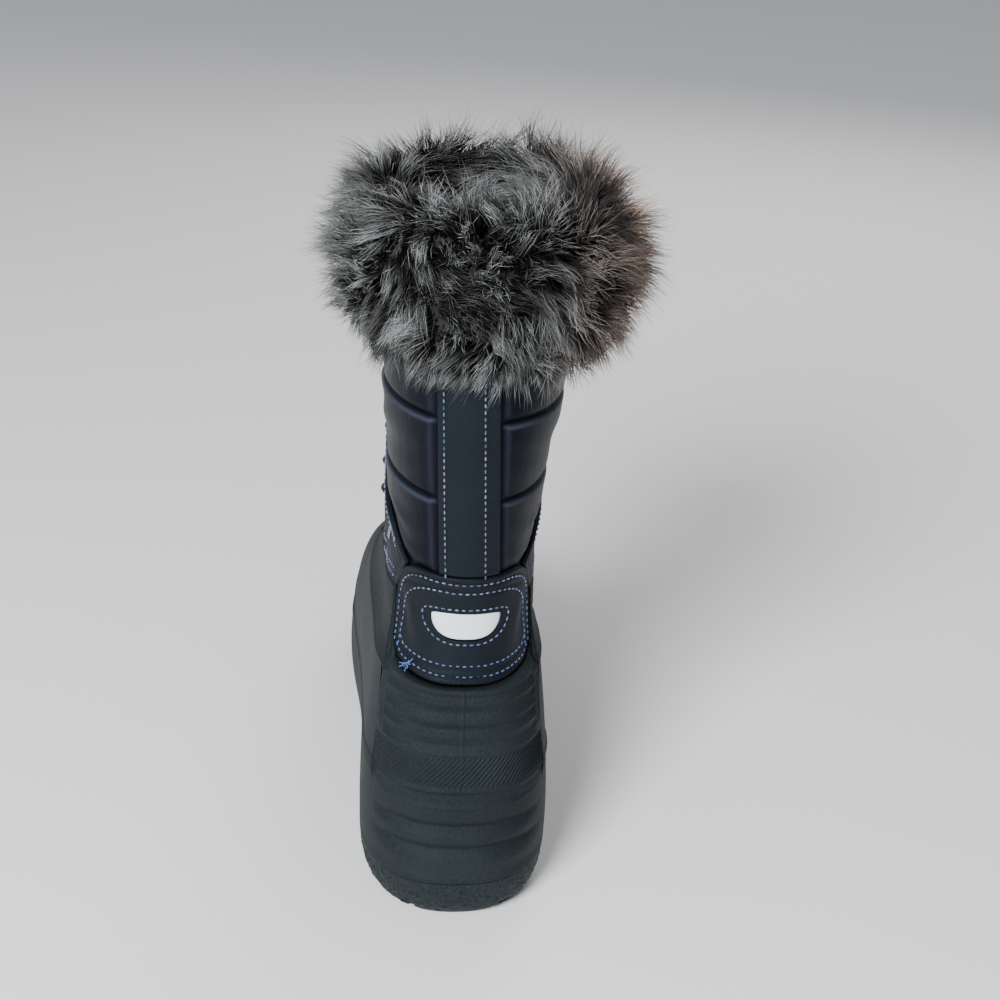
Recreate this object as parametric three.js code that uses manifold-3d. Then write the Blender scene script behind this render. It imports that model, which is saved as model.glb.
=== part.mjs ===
// Winter boot for the right foot: a moulded shell with a lugged outsole, a padded textile upper inside it,
// a fur cuff, and an elastic lace over a tongue. Millimetres, +Z up, toe towards -Y, big-toe side towards +X.
// The origin is on the floor under the middle of the heel.
import * as THREE from "three";
import { mergeVertices } from "three/addons/utils/BufferGeometryUtils.js";
import Module from "manifold-3d";

const wasm = await Module();
wasm.setup();

// Driving sizes.
const LENGTH = 274; // heel to toe, outside
const BALL_WIDTH = 82; // across the shell at the ball of the foot
const HEEL_WIDTH = 73.6; // across the shell at the heel
const HEEL_CENTRE = 38; // from the back of the heel to the origin
const COLLAR_TOP = 268; // top edge of the textile wall, inside the cuff
const WALL = 3; // nylon, foam and fleece together
const GAP = 0.3; // between pieces that meet
const OVERLAY = 1.6; // thickness of the leather-like overlays

// Shares of half an outline, from the middle of the heel (0) to the toe tip (1).
const HEEL_SHARE = 0.34;
const TOE_SHARE = 0.6;
const LATERAL_BALL = 1.16; // the outer ball of the foot lies further back than the inner one
const ROUND_STEPS = 34; // points round an outline
const COLLAR_LEAN = 4; // how far the collar leans to the outer side
const LEAN_FROM = 120; // height at which the leg starts to lean

// Level tables. s runs forward from the back of the shell.
// back and front: where the level starts and ends, along s. heel and toe: lengths of its two rounded ends.
// heelHalf, ballIn, ballOut: half widths. tip: sideways place of the front end.
// n: shape of the rounded ends; 2 is an ellipse, more is boxier.
const COLUMNS = ["z", "back", "front", "heel", "toe", "heelHalf", "ballIn", "ballOut", "tip", "n"];
const table = (rows) => rows.map((row) => Object.fromEntries(COLUMNS.map((name, i) => [name, row[i]])));

// The textile upper.
const UPPER_ROWS = table([
  [8, 12, 252, 42, 86, 25, 28.5, 31, 3, 2.45],
  [20, 8, 262, 44, 88, 29.4, 32.5, 34.6, 3, 2.45],
  [32, 6, 263, 45, 90, 30.7, 33.4, 35.2, 3, 2.45],
  [44, 5.5, 259, 45, 94, 30.7, 33, 33.6, 3, 2.5],
  [54, 6, 249, 45, 98, 30.4, 32.3, 32.2, 3, 2.5],
  [62, 7, 236, 45, 98, 30, 31.6, 30.8, 2.5, 2.45],
  [72, 8.5, 212, 46, 92, 29.2, 30.6, 29.4, 2, 2.5],
  [85, 10.5, 184, 46, 78, 28, 29.4, 28, 1, 2.5],
  [100, 12.5, 161, 46, 66, 26.8, 27.8, 27, 0, 2.4],
  [118, 14, 142, 46, 58, 26.2, 26.4, 26, 0, 2.25],
  [142, 14, 123, 46, 50, 26.2, 26.2, 26.2, 0, 2.1],
  [168, 12.5, 114, 47, 48, 28.2, 28.2, 28.2, 0, 2],
  [200, 9.5, 113, 48, 50, 31.4, 31.4, 31.4, 0, 2],
  [235, 7.5, 117, 50, 52, 34.2, 34.2, 34.2, 0, 2],
  [278, 6.5, 121, 52, 54, 37, 37, 37, 0, 2],
]);

// The outside of the moulded shell and its outsole. Above the step at 97 to 102 mm it hugs the upper.
const SHELL_ROWS = table([
  [-2, 8, 260, 44, 88, 29.5, 32.2, 34.6, 4, 2.45],
  [4, 3, 268, 45, 90, 33.9, 36.2, 38.6, 4, 2.45],
  [12, 0.6, 272.5, 46, 92, 36.2, 38.6, 40.6, 4, 2.45],
  [24, 0, LENGTH, 46, 92, HEEL_WIDTH / 2, 40.2, BALL_WIDTH - 40.2, 4, 2.45],
  [36, 0.2, 273, 46, 94, 36.7, 39, 40, 4, 2.45],
  [48, 0.8, 268, 46, 98, 36.1, 38.2, 37.8, 4, 2.5],
  [58, 1.8, 257, 46, 104, 35.5, 37.2, 36, 4, 2.5],
  [67, 3, 238, 47, 102, 34.8, 36.4, 34.4, 3, 2.45],
  [77, 4.4, 211, 48, 92, 33.8, 35.2, 32.8, 2, 2.5],
  [90, 6.4, 184, 49, 78, 32.4, 33.6, 31.2, 1, 2.5],
  [97, 7.6, 174, 49, 74, 31.4, 32.4, 30.4, 0, 2.45],
  [102, 10, 165, 49, 68, 29, 30.2, 29.2, 0, 2.4],
  [118, 11.6, 145.5, 49, 60, 28.5, 29, 28.4, 0, 2.25],
  [132, 11.8, 133, 49, 54, 28.4, 28.3, 28.5, 0, 2.2],
]);
const WAIST_IN = 4; // how far the inner side draws in at the arch
const WAIST_OUT = 1.5; // and the outer side
const WAIST_FADE = 70; // height at which the arch has gone

// Lines in side view, as [s, z] points.
const sideLine = (points) => points.map(([s, z]) => ({ s, z }));
const RIM_LINE = sideLine([
  [-8, 96.5], [8, 97], [18, 98], [28, 100], [34, 104], [36, 125.5], [60, 124], [90, 120], [118, 115],
  [136, 113], [150, 117], [300, 130],
]);
const UNDERSIDE_LINE = sideLine([
  [-8, 2], [2, 1], [8, 0], [78, 0], [90, 3], [112, 3.4], [130, 0], [204, 0], [226, 2], [248, 6.4],
  [266, 12.5], [284, 20],
]);
const OUTSOLE_TOP_LINE = sideLine([
  [-8, 17], [80, 17], [105, 16.5], [135, 13], [200, 12.5], [228, 15], [252, 20], [284, 29],
]);
const FOOTBED_LINE = sideLine([
  [-8, 30], [60, 29], [110, 27], [160, 22.5], [205, 22], [235, 25], [284, 36],
]);
const INSOLE_THICKNESS = 4.5;

// Grooves across the outsole: pairs of bars that slope back from a rib down the middle to the two edges.
const GROOVE = { width: 4.5, depth: 4.5, length: 70, angle: 0.32, ribHalf: 3 };
const GROOVE_STATIONS = [14, 30, 46, 62, 136, 152, 168, 184, 200, 216, 232];

// Heel counter and its reflector window.
const COUNTER_TOP = 140;
const COUNTER_FRONT = 35; // how far forward the counter wraps, along s
const COUNTER_CORNER = { width: 12, drop: 14 };
const WINDOW = { half: 12.7, top: 126, drop: 11, corner: 4 };
const REFLECTOR_THICKNESS = 0.9;

// Backstay: a strip whose middle drifts to the inner side on its way up.
const BACKSTAY = { half: 10.2, top: 212, footX: -0.6, topX: 2.4 };

// Facing, with the band that runs back from it along the shell's rim: its edge in side view.
const FACING_EDGE = sideLine([
  [22, 138], [28, 138.5], [34, 141.5], [44, 148.5], [60, 156], [72, 167], [79, 182], [82, 211],
]);

// Throat, tongue and lacing.
const THROAT = { half: 15, foot: 118 };
const TONGUE = { half: 25, foot: 106, top: 250, thickness: 5 };
const LOOP_LEVELS = [130, 147, 164, 181, 198];
const LOOP = { across: 21, radius: 4.6, thick: 1.1, foot: GAP + OVERLAY + GAP };
const CORD_RADIUS = 1.2;
const CORD_IN_LOOP = 2.4; // how far the cord's middle stands off the facing, inside a loop
const CORD_BEND = 4; // and how far it runs straight above and below a loop
const CORD_ON_FRONT = 5.2; // and off the upper's surface, where it runs over facings and tongue

// The two free ends of the lace, each from above its top loop, over in a short bow and down to the clip.
const LACE_ENDS = {
  medial: [
    [22.6, -64.5, 202.2], [22.7, -64.8, 204.2], [22.5, -65.9, 206], [21.8, -67.7, 207.4],
    [20.6, -69.9, 207.9], [19, -72.2, 207.2], [17.2, -74.4, 205.3], [15.2, -76.5, 202.5],
    [13, -78.5, 199.1], [10.6, -80.3, 195.5], [8.1, -81.9, 191.9], [5.4, -83.2, 188.3],
    [2.4, -83.9, 184.8], [0.2, -84.2, 181.3], [-0.3, -84.2, 177.6],
  ],
  lateral: [
    [-26.9, -64.5, 202.2], [-27, -64.8, 204.2], [-26.8, -65.9, 206], [-26.1, -67.7, 207.4],
    [-24.9, -69.9, 207.9], [-23.3, -72.2, 207.2], [-21.5, -74.4, 205.3], [-19.5, -76.5, 202.5],
    [-17.3, -78.5, 199.1], [-14.9, -80.3, 195.5], [-12.4, -81.9, 191.9], [-9.7, -83.2, 188.3],
    [-6.7, -83.9, 184.8], [-4.5, -84.2, 181.3], [-4, -84.2, 177.6],
  ],
};
const CLIP = { x: -2.2, top: 177, width: 8, height: 9, from: 120.4, to: 124, corner: 1.6 };

// Fur cuff: its section hooks over the upper's top edge. offset is out from the upper's surface.
const CUFF_FOOT = 217;
const CUFF_SECTION = [
  { offset: GAP, z: CUFF_FOOT }, { offset: 9, z: CUFF_FOOT - 4 }, { offset: 18, z: CUFF_FOOT },
  { offset: 24, z: 228 }, { offset: 26, z: 243 }, { offset: 24, z: 260 }, { offset: 16, z: 273 },
  { offset: 4, z: 278 }, { offset: -8, z: 274 }, { offset: -11, z: 264 }, { offset: -WALL - GAP, z: 257 },
  { offset: -WALL - GAP, z: COLLAR_TOP + GAP }, { offset: GAP, z: COLLAR_TOP + GAP }, { offset: GAP, z: 257 },
  { offset: GAP, z: 238 },
];

const smooth = (t) => t * t * (3 - 2 * t);
const clamp = (t) => Math.min(Math.max(t, 0), 1);
const leanAt = (z) => COLLAR_LEAN * smooth(clamp((z - LEAN_FROM) / (COLLAR_TOP - LEAN_FROM)));
const signedPower = (v, p) => Math.sign(v) * Math.abs(v) ** p;

// One column of a table at any height, on a smooth curve through its rows.
function columnAt(rows, name, z) {
  let i = 0;
  while (i < rows.length - 2 && z > rows[i + 1].z) i++;
  const at = (k) => rows[Math.min(Math.max(k, 0), rows.length - 1)];
  const slope = (k) => {
    const [below, above] = [at(k - 1), at(k + 1)];
    return (above[name] - below[name]) / (above.z - below.z);
  };
  const step = rows[i + 1].z - rows[i].z;
  const t = (z - rows[i].z) / step;
  const [t2, t3] = [t * t, t * t * t];
  return (
    (2 * t3 - 3 * t2 + 1) * rows[i][name] +
    (t3 - 2 * t2 + t) * step * slope(i) +
    (3 * t2 - 2 * t3) * rows[i + 1][name] +
    (t3 - t2) * step * slope(i + 1)
  );
}

// A point of the outline at height z. u runs once round: 0 behind the heel, 0.25 inside, 0.5 at the toe.
function outline(rows, z, u) {
  const column = (name) => columnAt(rows, name, z);
  const turn = u - Math.floor(u);
  const side = turn <= 0.5 ? 1 : -1;
  const half = side > 0 ? turn * 2 : (1 - turn) * 2;
  const [back, front, heelHalf] = [column("back"), column("front"), column("heelHalf")];
  const power = 2 / column("n");
  const waistShare = Math.max(0, 1 - z / WAIST_FADE);
  const toe = column("toe") * (side > 0 ? 1 : 1 + (LATERAL_BALL - 1) * waistShare);
  const ball = column(side > 0 ? "ballIn" : "ballOut");
  const [heelEnd, toeStart] = [back + column("heel"), front - toe];
  let s, x;
  if (half < HEEL_SHARE) {
    const a = (half / HEEL_SHARE) * (Math.PI / 2);
    s = heelEnd - column("heel") * signedPower(Math.cos(a), power);
    x = side * heelHalf * signedPower(Math.sin(a), power);
  } else if (half < TOE_SHARE) {
    const t = (half - HEEL_SHARE) / (TOE_SHARE - HEEL_SHARE);
    const waist = (side > 0 ? WAIST_IN : WAIST_OUT) * waistShare * Math.sin(Math.PI * t) ** 2;
    s = heelEnd + (toeStart - heelEnd) * t;
    x = side * (heelHalf + (ball - heelHalf) * smooth(t) - waist);
  } else {
    const a = ((half - TOE_SHARE) / (1 - TOE_SHARE)) * (Math.PI / 2);
    s = toeStart + toe * signedPower(Math.sin(a), power);
    x = column("tip") + (side * ball - column("tip")) * signedPower(Math.cos(a), power);
  }
  return new THREE.Vector3(x - leanAt(z), HEEL_CENTRE - s, z);
}

// The same point moved out along the surface's own normal.
function surface(rows, z, u, offset) {
  const [du, dz] = [0.002, 0.5];
  const p = outline(rows, z, u);
  const along = outline(rows, z, u + du).sub(outline(rows, z, u - du));
  const up = outline(rows, z + dz, u).sub(outline(rows, z - dz, u));
  return p.add(along.cross(up).normalize().multiplyScalar(-offset));
}

// A closed solid from a geometry of any kind.
function solid(geometry) {
  const bare = geometry.clone();
  for (const name of Object.keys(bare.attributes)) if (name !== "position") bare.deleteAttribute(name);
  const merged = mergeVertices(bare, 1e-4);
  return new wasm.Manifold(
    new wasm.Mesh({
      numProp: 3,
      vertProperties: new Float32Array(merged.attributes.position.array),
      triVerts: new Uint32Array(merged.index.array),
    }),
  );
}

// Rings of points joined one to the next, with flat ends, or the last joined to the first.
function skin(rings, closed = false) {
  const count = rings[0].length;
  const positions = rings.flat().flatMap((p) => [p.x, p.y, p.z]);
  const index = [];
  const bands = closed ? rings.length : rings.length - 1;
  for (let i = 0; i < bands; i++) {
    const [low, high] = [i * count, ((i + 1) % rings.length) * count];
    for (let j = 0; j < count; j++) {
      const k = (j + 1) % count;
      index.push(low + j, high + k, low + k, low + j, high + j, high + k);
    }
  }
  if (!closed) {
    for (const [ring, flip] of [[0, false], [rings.length - 1, true]]) {
      const centre = rings[ring].reduce((sum, p) => sum.add(p), new THREE.Vector3()).divideScalar(count);
      const hub = positions.length / 3;
      positions.push(centre.x, centre.y, centre.z);
      for (let j = 0; j < count; j++) {
        const [a, b] = [ring * count + j, ring * count + ((j + 1) % count)];
        index.push(...(flip ? [hub, b, a] : [hub, a, b]));
      }
    }
  }
  const geometry = new THREE.BufferGeometry();
  geometry.setAttribute("position", new THREE.Float32BufferAttribute(positions, 3));
  geometry.setIndex(index);
  const made = solid(geometry);
  if (made.volume() > 0) return made;
  for (let i = 0; i < index.length; i += 3) [index[i + 1], index[i + 2]] = [index[i + 2], index[i + 1]];
  geometry.setIndex(index);
  return solid(geometry);
}

const turns = Array.from({ length: ROUND_STEPS }, (_, j) => j / ROUND_STEPS);
const ring = (rows, z, offset) => turns.map((u) => surface(rows, z, u, offset));
const form = (rows, levels, offset) => skin(levels.map((z) => ring(rows, z, offset)));

// A slab across the boot whose side view lies above or below a line of points.
function slab(line, up, shift = 0, halfWidth = 120) {
  const far = up ? 400 : -60;
  const shape = new THREE.Shape(line.map((p) => new THREE.Vector2(p.s, p.z + shift)));
  shape.lineTo(line.at(-1).s, far);
  shape.lineTo(line[0].s, far);
  return acrossBoot(shape, -halfWidth, halfWidth);
}

const PLAIN_CUT = { bevelEnabled: false, curveSegments: 6 };

// A side-view shape, s along the boot and z up, carried across it from x = from to x = to.
function acrossBoot(shape, from, to) {
  const geometry = new THREE.ExtrudeGeometry(shape, { ...PLAIN_CUT, depth: to - from });
  const place = new THREE.Matrix4().makeBasis(
    new THREE.Vector3(0, -1, 0),
    new THREE.Vector3(0, 0, 1),
    new THREE.Vector3(-1, 0, 0),
  );
  place.setPosition(to, HEEL_CENTRE, 0);
  return solid(geometry.applyMatrix4(place));
}

// A back-view or front-view shape, x across and z up, carried along the boot from s = from to s = to.
function alongBoot(shape, from, to) {
  const geometry = new THREE.ExtrudeGeometry(shape, { ...PLAIN_CUT, depth: to - from });
  const place = new THREE.Matrix4().makeBasis(
    new THREE.Vector3(1, 0, 0),
    new THREE.Vector3(0, 0, 1),
    new THREE.Vector3(0, -1, 0),
  );
  place.setPosition(0, HEEL_CENTRE - from, 0);
  return solid(geometry.applyMatrix4(place));
}

const lineHeight = (line, s) => {
  const i = Math.max(1, line.findIndex((p) => p.s >= s));
  const [a, b] = [line[i - 1], line[i]];
  return a.z + ((b.z - a.z) * (s - a.s)) / (b.s - a.s);
};
const rectangle = (x0, z0, x1, z1) =>
  new THREE.Shape([[x0, z0], [x1, z0], [x1, z1], [x0, z1]].map(([x, z]) => new THREE.Vector2(x, z)));

// A round cord through points, on a smooth curve.
const CORD_SIDES = 5; // of cords that are thinner than the walls they cross
function cord(points, radius, steps, sides) {
  const circle = new THREE.Shape(
    Array.from({ length: sides }, (_, k) => {
      const a = (k / sides) * Math.PI * 2;
      return new THREE.Vector2(Math.cos(a) * radius, Math.sin(a) * radius);
    }),
  );
  const curve = new THREE.CatmullRomCurve3(points, false, "centripetal");
  return solid(new THREE.ExtrudeGeometry(circle, { steps, extrudePath: curve, bevelEnabled: false }));
}

// Forms that the pieces are cut from.
const UPPER_LEVELS = [
  8, 20, 32, 44, 54, 63, 73, 86, 100, 118, 142, 170, 200, CUFF_FOOT, 238, 257, COLLAR_TOP + 5,
];
const SHELL_LEVELS = [-2, 4, 12, 24, 36, 48, 56, 63, 70, 80, 90, 97, 102, 116, 131];
const FOOT_LEVELS = UPPER_LEVELS.filter((z) => z < COUNTER_TOP + 10);
const LEG_LEVELS = UPPER_LEVELS.filter((z) => z > 80);
const SOLE_LEVELS = SHELL_LEVELS.filter((z) => z < 40);
const INSOLE_LEVELS = UPPER_LEVELS.filter((z) => z < 50);
const FRONT_OF_LEG = [75, 200]; // s of a cutter that takes only the leg's front
const BACK_OF_LEG = [-20, 40]; // and only its back
const FAR = 120; // beyond the boot on either side
const upperForm = (offset, levels = UPPER_LEVELS) => form(UPPER_ROWS, levels, offset);
const overlay = (inner, outer) => upperForm(outer, LEG_LEVELS).subtract(upperForm(inner, LEG_LEVELS));
const level = (z) => [{ s: -60, z }, { s: 330, z }];

// Outsole: the lowest slice of the shell's form, with chevron grooves that leave the lugs.
function outsole() {
  let body = form(SHELL_ROWS, SOLE_LEVELS, 0)
    .intersect(slab(UNDERSIDE_LINE, true))
    .intersect(slab(OUTSOLE_TOP_LINE, false));
  for (const s of GROOVE_STATIONS) {
    const under = lineHeight(UNDERSIDE_LINE, s);
    for (const side of [-1, 1]) {
      const bar = new THREE.BoxGeometry(GROOVE.length, GROOVE.width, GROOVE.depth * 2);
      bar.translate(GROOVE.length / 2, 0, 0);
      const place = new THREE.Matrix4().makeRotationZ(side > 0 ? GROOVE.angle : Math.PI - GROOVE.angle);
      bar.applyMatrix4(place.setPosition(side * GROOVE.ribHalf, HEEL_CENTRE - s, under));
      body = body.subtract(solid(bar));
    }
  }
  return body;
}

// Shell: foam rubber moulded whole, closed under the foot and open above along its rim.
function shell() {
  const cavity = upperForm(GAP, FOOT_LEVELS).intersect(slab(FOOTBED_LINE, true, -INSOLE_THICKNESS - GAP));
  return form(SHELL_ROWS, SHELL_LEVELS, 0)
    .intersect(slab(OUTSOLE_TOP_LINE, true, GAP))
    .intersect(slab(RIM_LINE, false))
    .subtract(cavity);
}

// Upper: one textile wall from the footbed to the collar, open above, below and at the throat.
function upper() {
  const throat = rectangle(-THROAT.half, THROAT.foot, THROAT.half, COLLAR_TOP + 20);
  return upperForm(0)
    .subtract(upperForm(-WALL))
    .intersect(slab(FOOTBED_LINE, true, -INSOLE_THICKNESS))
    .intersect(slab(level(COLLAR_TOP), false))
    .subtract(alongBoot(throat, ...FRONT_OF_LEG));
}

// Insole: a felted footbed inside the upper.
function insole() {
  return upperForm(-WALL - GAP, INSOLE_LEVELS)
    .intersect(slab(FOOTBED_LINE, true, -INSOLE_THICKNESS))
    .intersect(slab(FOOTBED_LINE, false));
}

// Tongue: a padded flap behind the throat.
function tongue() {
  const flap = rectangle(-TONGUE.half, TONGUE.foot, TONGUE.half, TONGUE.top);
  return overlay(-WALL - GAP - TONGUE.thickness, -WALL - GAP).intersect(alongBoot(flap, ...FRONT_OF_LEG));
}

// Half-moon outline of the reflector's window, nearly flat above and round below.
function halfMoon(inset) {
  const [half, top, drop] = [WINDOW.half - inset, WINDOW.top - inset, WINDOW.drop - 2 * inset];
  const corner = WINDOW.corner;
  const shape = new THREE.Shape();
  shape.moveTo(-half + corner / 2, top - corner / 4);
  shape.bezierCurveTo(-half - 1, top, -half, top - drop * 0.55, -half + corner, top - drop * 0.8);
  shape.bezierCurveTo(
    -half + 2 * corner, top - drop * 1.05,
    half - 2 * corner, top - drop * 1.05,
    half - corner, top - drop * 0.8,
  );
  shape.bezierCurveTo(half, top - drop * 0.55, half + 1, top, half - corner / 2, top - corner / 4);
  shape.quadraticCurveTo(0, top + corner / 4, -half + corner / 2, top - corner / 4);
  return shape;
}

// Side view of the counter, grown all round by a margin.
function counterSide(grow) {
  const [front, top] = [COUNTER_FRONT + grow, COUNTER_TOP + grow];
  const foot = LEG_LEVELS[0];
  const shape = new THREE.Shape();
  shape.moveTo(BACK_OF_LEG[0], foot);
  shape.lineTo(front, foot);
  shape.lineTo(front, top - COUNTER_CORNER.drop);
  shape.quadraticCurveTo(front - 1, top - 2, front - COUNTER_CORNER.width, top);
  shape.lineTo(BACK_OF_LEG[0], top);
  return shape;
}

// Heel counter: an overlay on the back of the upper, from the shell's rim to the foot of the backstay.
const heelCounter = () =>
  overlay(GAP, GAP + OVERLAY)
    .intersect(acrossBoot(counterSide(0), -FAR, FAR))
    .intersect(slab(RIM_LINE, true, GAP))
    .subtract(alongBoot(halfMoon(0), ...BACK_OF_LEG));

const reflector = () =>
  overlay(GAP, GAP + REFLECTOR_THICKNESS).intersect(alongBoot(halfMoon(GAP), ...BACK_OF_LEG));

// Backstay: the strip up the middle of the back, from the counter into the fur.
function backstay() {
  const { half, top, footX, topX } = BACKSTAY;
  const foot = COUNTER_TOP + GAP;
  const strip = new THREE.Shape();
  strip.moveTo(footX - half, foot);
  strip.lineTo(footX + half, foot);
  strip.lineTo(topX + half, top);
  strip.lineTo(topX - half, top);
  return overlay(GAP, GAP + OVERLAY).intersect(alongBoot(strip, ...BACK_OF_LEG));
}

// Facing: the overlay beside the throat, with the band that runs back from it along the shell's rim.
function facing(side) {
  const [first, last] = [FACING_EDGE[0], FACING_EDGE.at(-1)];
  const sideView = new THREE.Shape(FACING_EDGE.map((p) => new THREE.Vector2(p.s, p.z)));
  sideView.lineTo(FRONT_OF_LEG[1], last.z);
  sideView.lineTo(FRONT_OF_LEG[1], LEG_LEVELS[0]);
  sideView.lineTo(first.s, LEG_LEVELS[0]);
  const reach = side > 0 ? [THROAT.half, FAR] : [-FAR, -THROAT.half];
  return overlay(GAP, GAP + OVERLAY)
    .intersect(acrossBoot(sideView, ...reach))
    .intersect(slab(RIM_LINE, true, GAP))
    .subtract(acrossBoot(counterSide(GAP), -FAR, FAR));
}

// A point in front of the upper, across from its own middle and z up, standing off its surface.
function onFront(across, z, offset) {
  let [low, high] = across > 0 ? [0.3, 0.5] : [0.5, 0.7];
  for (let i = 0; i < 30; i++) {
    const middle = (low + high) / 2;
    if (outline(UPPER_ROWS, z, middle).x > across - leanAt(z)) low = middle;
    else high = middle;
  }
  return surface(UPPER_ROWS, z, low, offset);
}

// Lace loop: a moulded half ring standing on the facing, open up and down for the cord.
function laceLoop(side, z) {
  const foot = onFront(side * LOOP.across, z, LOOP.foot);
  const normal = onFront(side * LOOP.across, z, LOOP.foot + 10).sub(foot).normalize();
  const along = new THREE.Vector3(0, 0, 1).cross(normal).normalize();
  const steps = 6;
  const points = Array.from({ length: steps + 1 }, (_, k) => {
    const a = (k / steps) * Math.PI;
    return foot
      .clone()
      .addScaledVector(along, Math.cos(a) * LOOP.radius)
      .addScaledVector(normal, LOOP.thick + Math.sin(a) * LOOP.radius);
  });
  return cord(points, LOOP.thick, steps, CORD_SIDES);
}

// Lace: two elastic cords that cross from loop to loop up the throat, and a bar across its foot.
function lace() {
  const inLoop = (side, z, rise) =>
    onFront(side * LOOP.across, z, LOOP.foot + CORD_IN_LOOP).add(new THREE.Vector3(0, 0, rise));
  const shares = [0.66, 0.33, 0, -0.33, -0.66];
  const across = (side, from, to) => {
    const rise = (to - from) / (shares.length + 1);
    return shares.map((share, k) => onFront(side * share * LOOP.across, from + rise * (k + 1), CORD_ON_FRONT));
  };
  const run = (firstSide) =>
    LOOP_LEVELS.flatMap((z, i) => {
      const side = i % 2 === 0 ? firstSide : -firstSide;
      const through = [inLoop(side, z, -CORD_BEND), inLoop(side, z, 0), inLoop(side, z, CORD_BEND)];
      const next = LOOP_LEVELS[i + 1];
      return next ? [...through, ...across(side, z + CORD_BEND, next - CORD_BEND)] : through;
    });
  const first = LOOP_LEVELS[0];
  const turn = (side) => [inLoop(side, first, -CORD_BEND + 0.5), inLoop(side, first, -CORD_BEND - 1)];
  const barHeight = first - 2 * CORD_BEND;
  const bar = [...turn(1), ...across(1, barHeight, barHeight), ...turn(-1).reverse()];
  const strand = (points) => cord(points, CORD_RADIUS, Math.floor(points.length * 1.5), CORD_SIDES);
  return strand(run(1)).add(strand(run(-1))).add(strand(bar));
}

const laceEnd = (word) => {
  const points = LACE_ENDS[word].map((p) => new THREE.Vector3(...p));
  return cord(points, CORD_RADIUS, points.length + 2, 8);
};

// Clip: a small flat moulding that holds the two ends together.
function laceClip() {
  const [left, right, foot] = [CLIP.x - CLIP.width / 2, CLIP.x + CLIP.width / 2, CLIP.top - CLIP.height];
  const shape = new THREE.Shape();
  shape.moveTo(left, CLIP.top);
  shape.lineTo(right, CLIP.top);
  shape.lineTo(right, foot + CLIP.corner);
  shape.absarc(right - CLIP.corner, foot + CLIP.corner, CLIP.corner, 0, -Math.PI / 2, true);
  shape.lineTo(left + CLIP.corner, foot);
  shape.absarc(left + CLIP.corner, foot + CLIP.corner, CLIP.corner, -Math.PI / 2, -Math.PI, true);
  return alongBoot(shape, CLIP.from, CLIP.to);
}

const material = (color, roughness) => new THREE.MeshStandardMaterial({ color, roughness, metalness: 0 });
const finishes = {
  rubber: material(0x1c2226, 0.75),
  tread: material(0x171b1e, 0.9),
  nylon: material(0x10131c, 0.5),
  overlay: material(0x1b2027, 0.6),
  felt: material(0x4a4b4e, 0.95),
  fur: material(0x3a3835, 0.9),
  plastic: material(0x101114, 0.4),
  cord: material(0x0e0f12, 0.6),
  reflector: material(0xd4d8da, 0.3),
};

// A solid as a named mesh with its finish.
const meshes = [];
function piece(name, made, finish) {
  const mesh = made.getMesh();
  const geometry = new THREE.BufferGeometry();
  const positions = new Float32Array(mesh.numVert * 3);
  for (let i = 0; i < mesh.numVert; i++) {
    positions.set(mesh.vertProperties.subarray(i * mesh.numProp, i * mesh.numProp + 3), i * 3);
  }
  geometry.setAttribute("position", new THREE.BufferAttribute(positions, 3));
  geometry.setIndex(new THREE.BufferAttribute(mesh.triVerts, 1));
  geometry.computeVertexNormals();
  const object = new THREE.Mesh(geometry, finishes[finish]);
  object.name = name;
  meshes.push(object);
}

// Fur cuff: fur on a knitted backing, wrapped over the collar and closed on itself.
const furCuff = () => skin(CUFF_SECTION.map((p) => ring(UPPER_ROWS, p.z, p.offset)), true);

piece("outsole", outsole(), "tread");
piece("shell", shell(), "rubber");
piece("upper", upper(), "nylon");
piece("insole", insole(), "felt");
piece("tongue", tongue(), "nylon");
piece("heel_counter", heelCounter(), "overlay");
piece("reflector", reflector(), "reflector");
piece("backstay", backstay(), "overlay");
piece("facing_medial", facing(1), "overlay");
piece("facing_lateral", facing(-1), "overlay");
piece("fur_cuff", furCuff(), "fur");
piece("lace", lace(), "cord");
piece("lace_end_medial", laceEnd("medial"), "cord");
piece("lace_end_lateral", laceEnd("lateral"), "cord");
piece("lace_clip", laceClip(), "plastic");
for (const [side, word] of [[1, "medial"], [-1, "lateral"]]) {
  LOOP_LEVELS.forEach((z, i) => piece(`lace_loop_${word}_${i + 1}`, laceLoop(side, z), "plastic"));
}

const boot = new THREE.Group();
boot.name = "winter_boot";
boot.add(...meshes);
export default boot;
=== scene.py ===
"""Looks of a winter boot for the right foot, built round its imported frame.

Sizes are in millimetres until a mesh is made. s runs forward from the back of the shell, z is up,
and u runs once round a level: 0 at the back, 0.25 on the inner side, 0.5 at the toe.
"""

import math

import bmesh
import bpy
import numpy as np
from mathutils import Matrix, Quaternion, Vector


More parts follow.
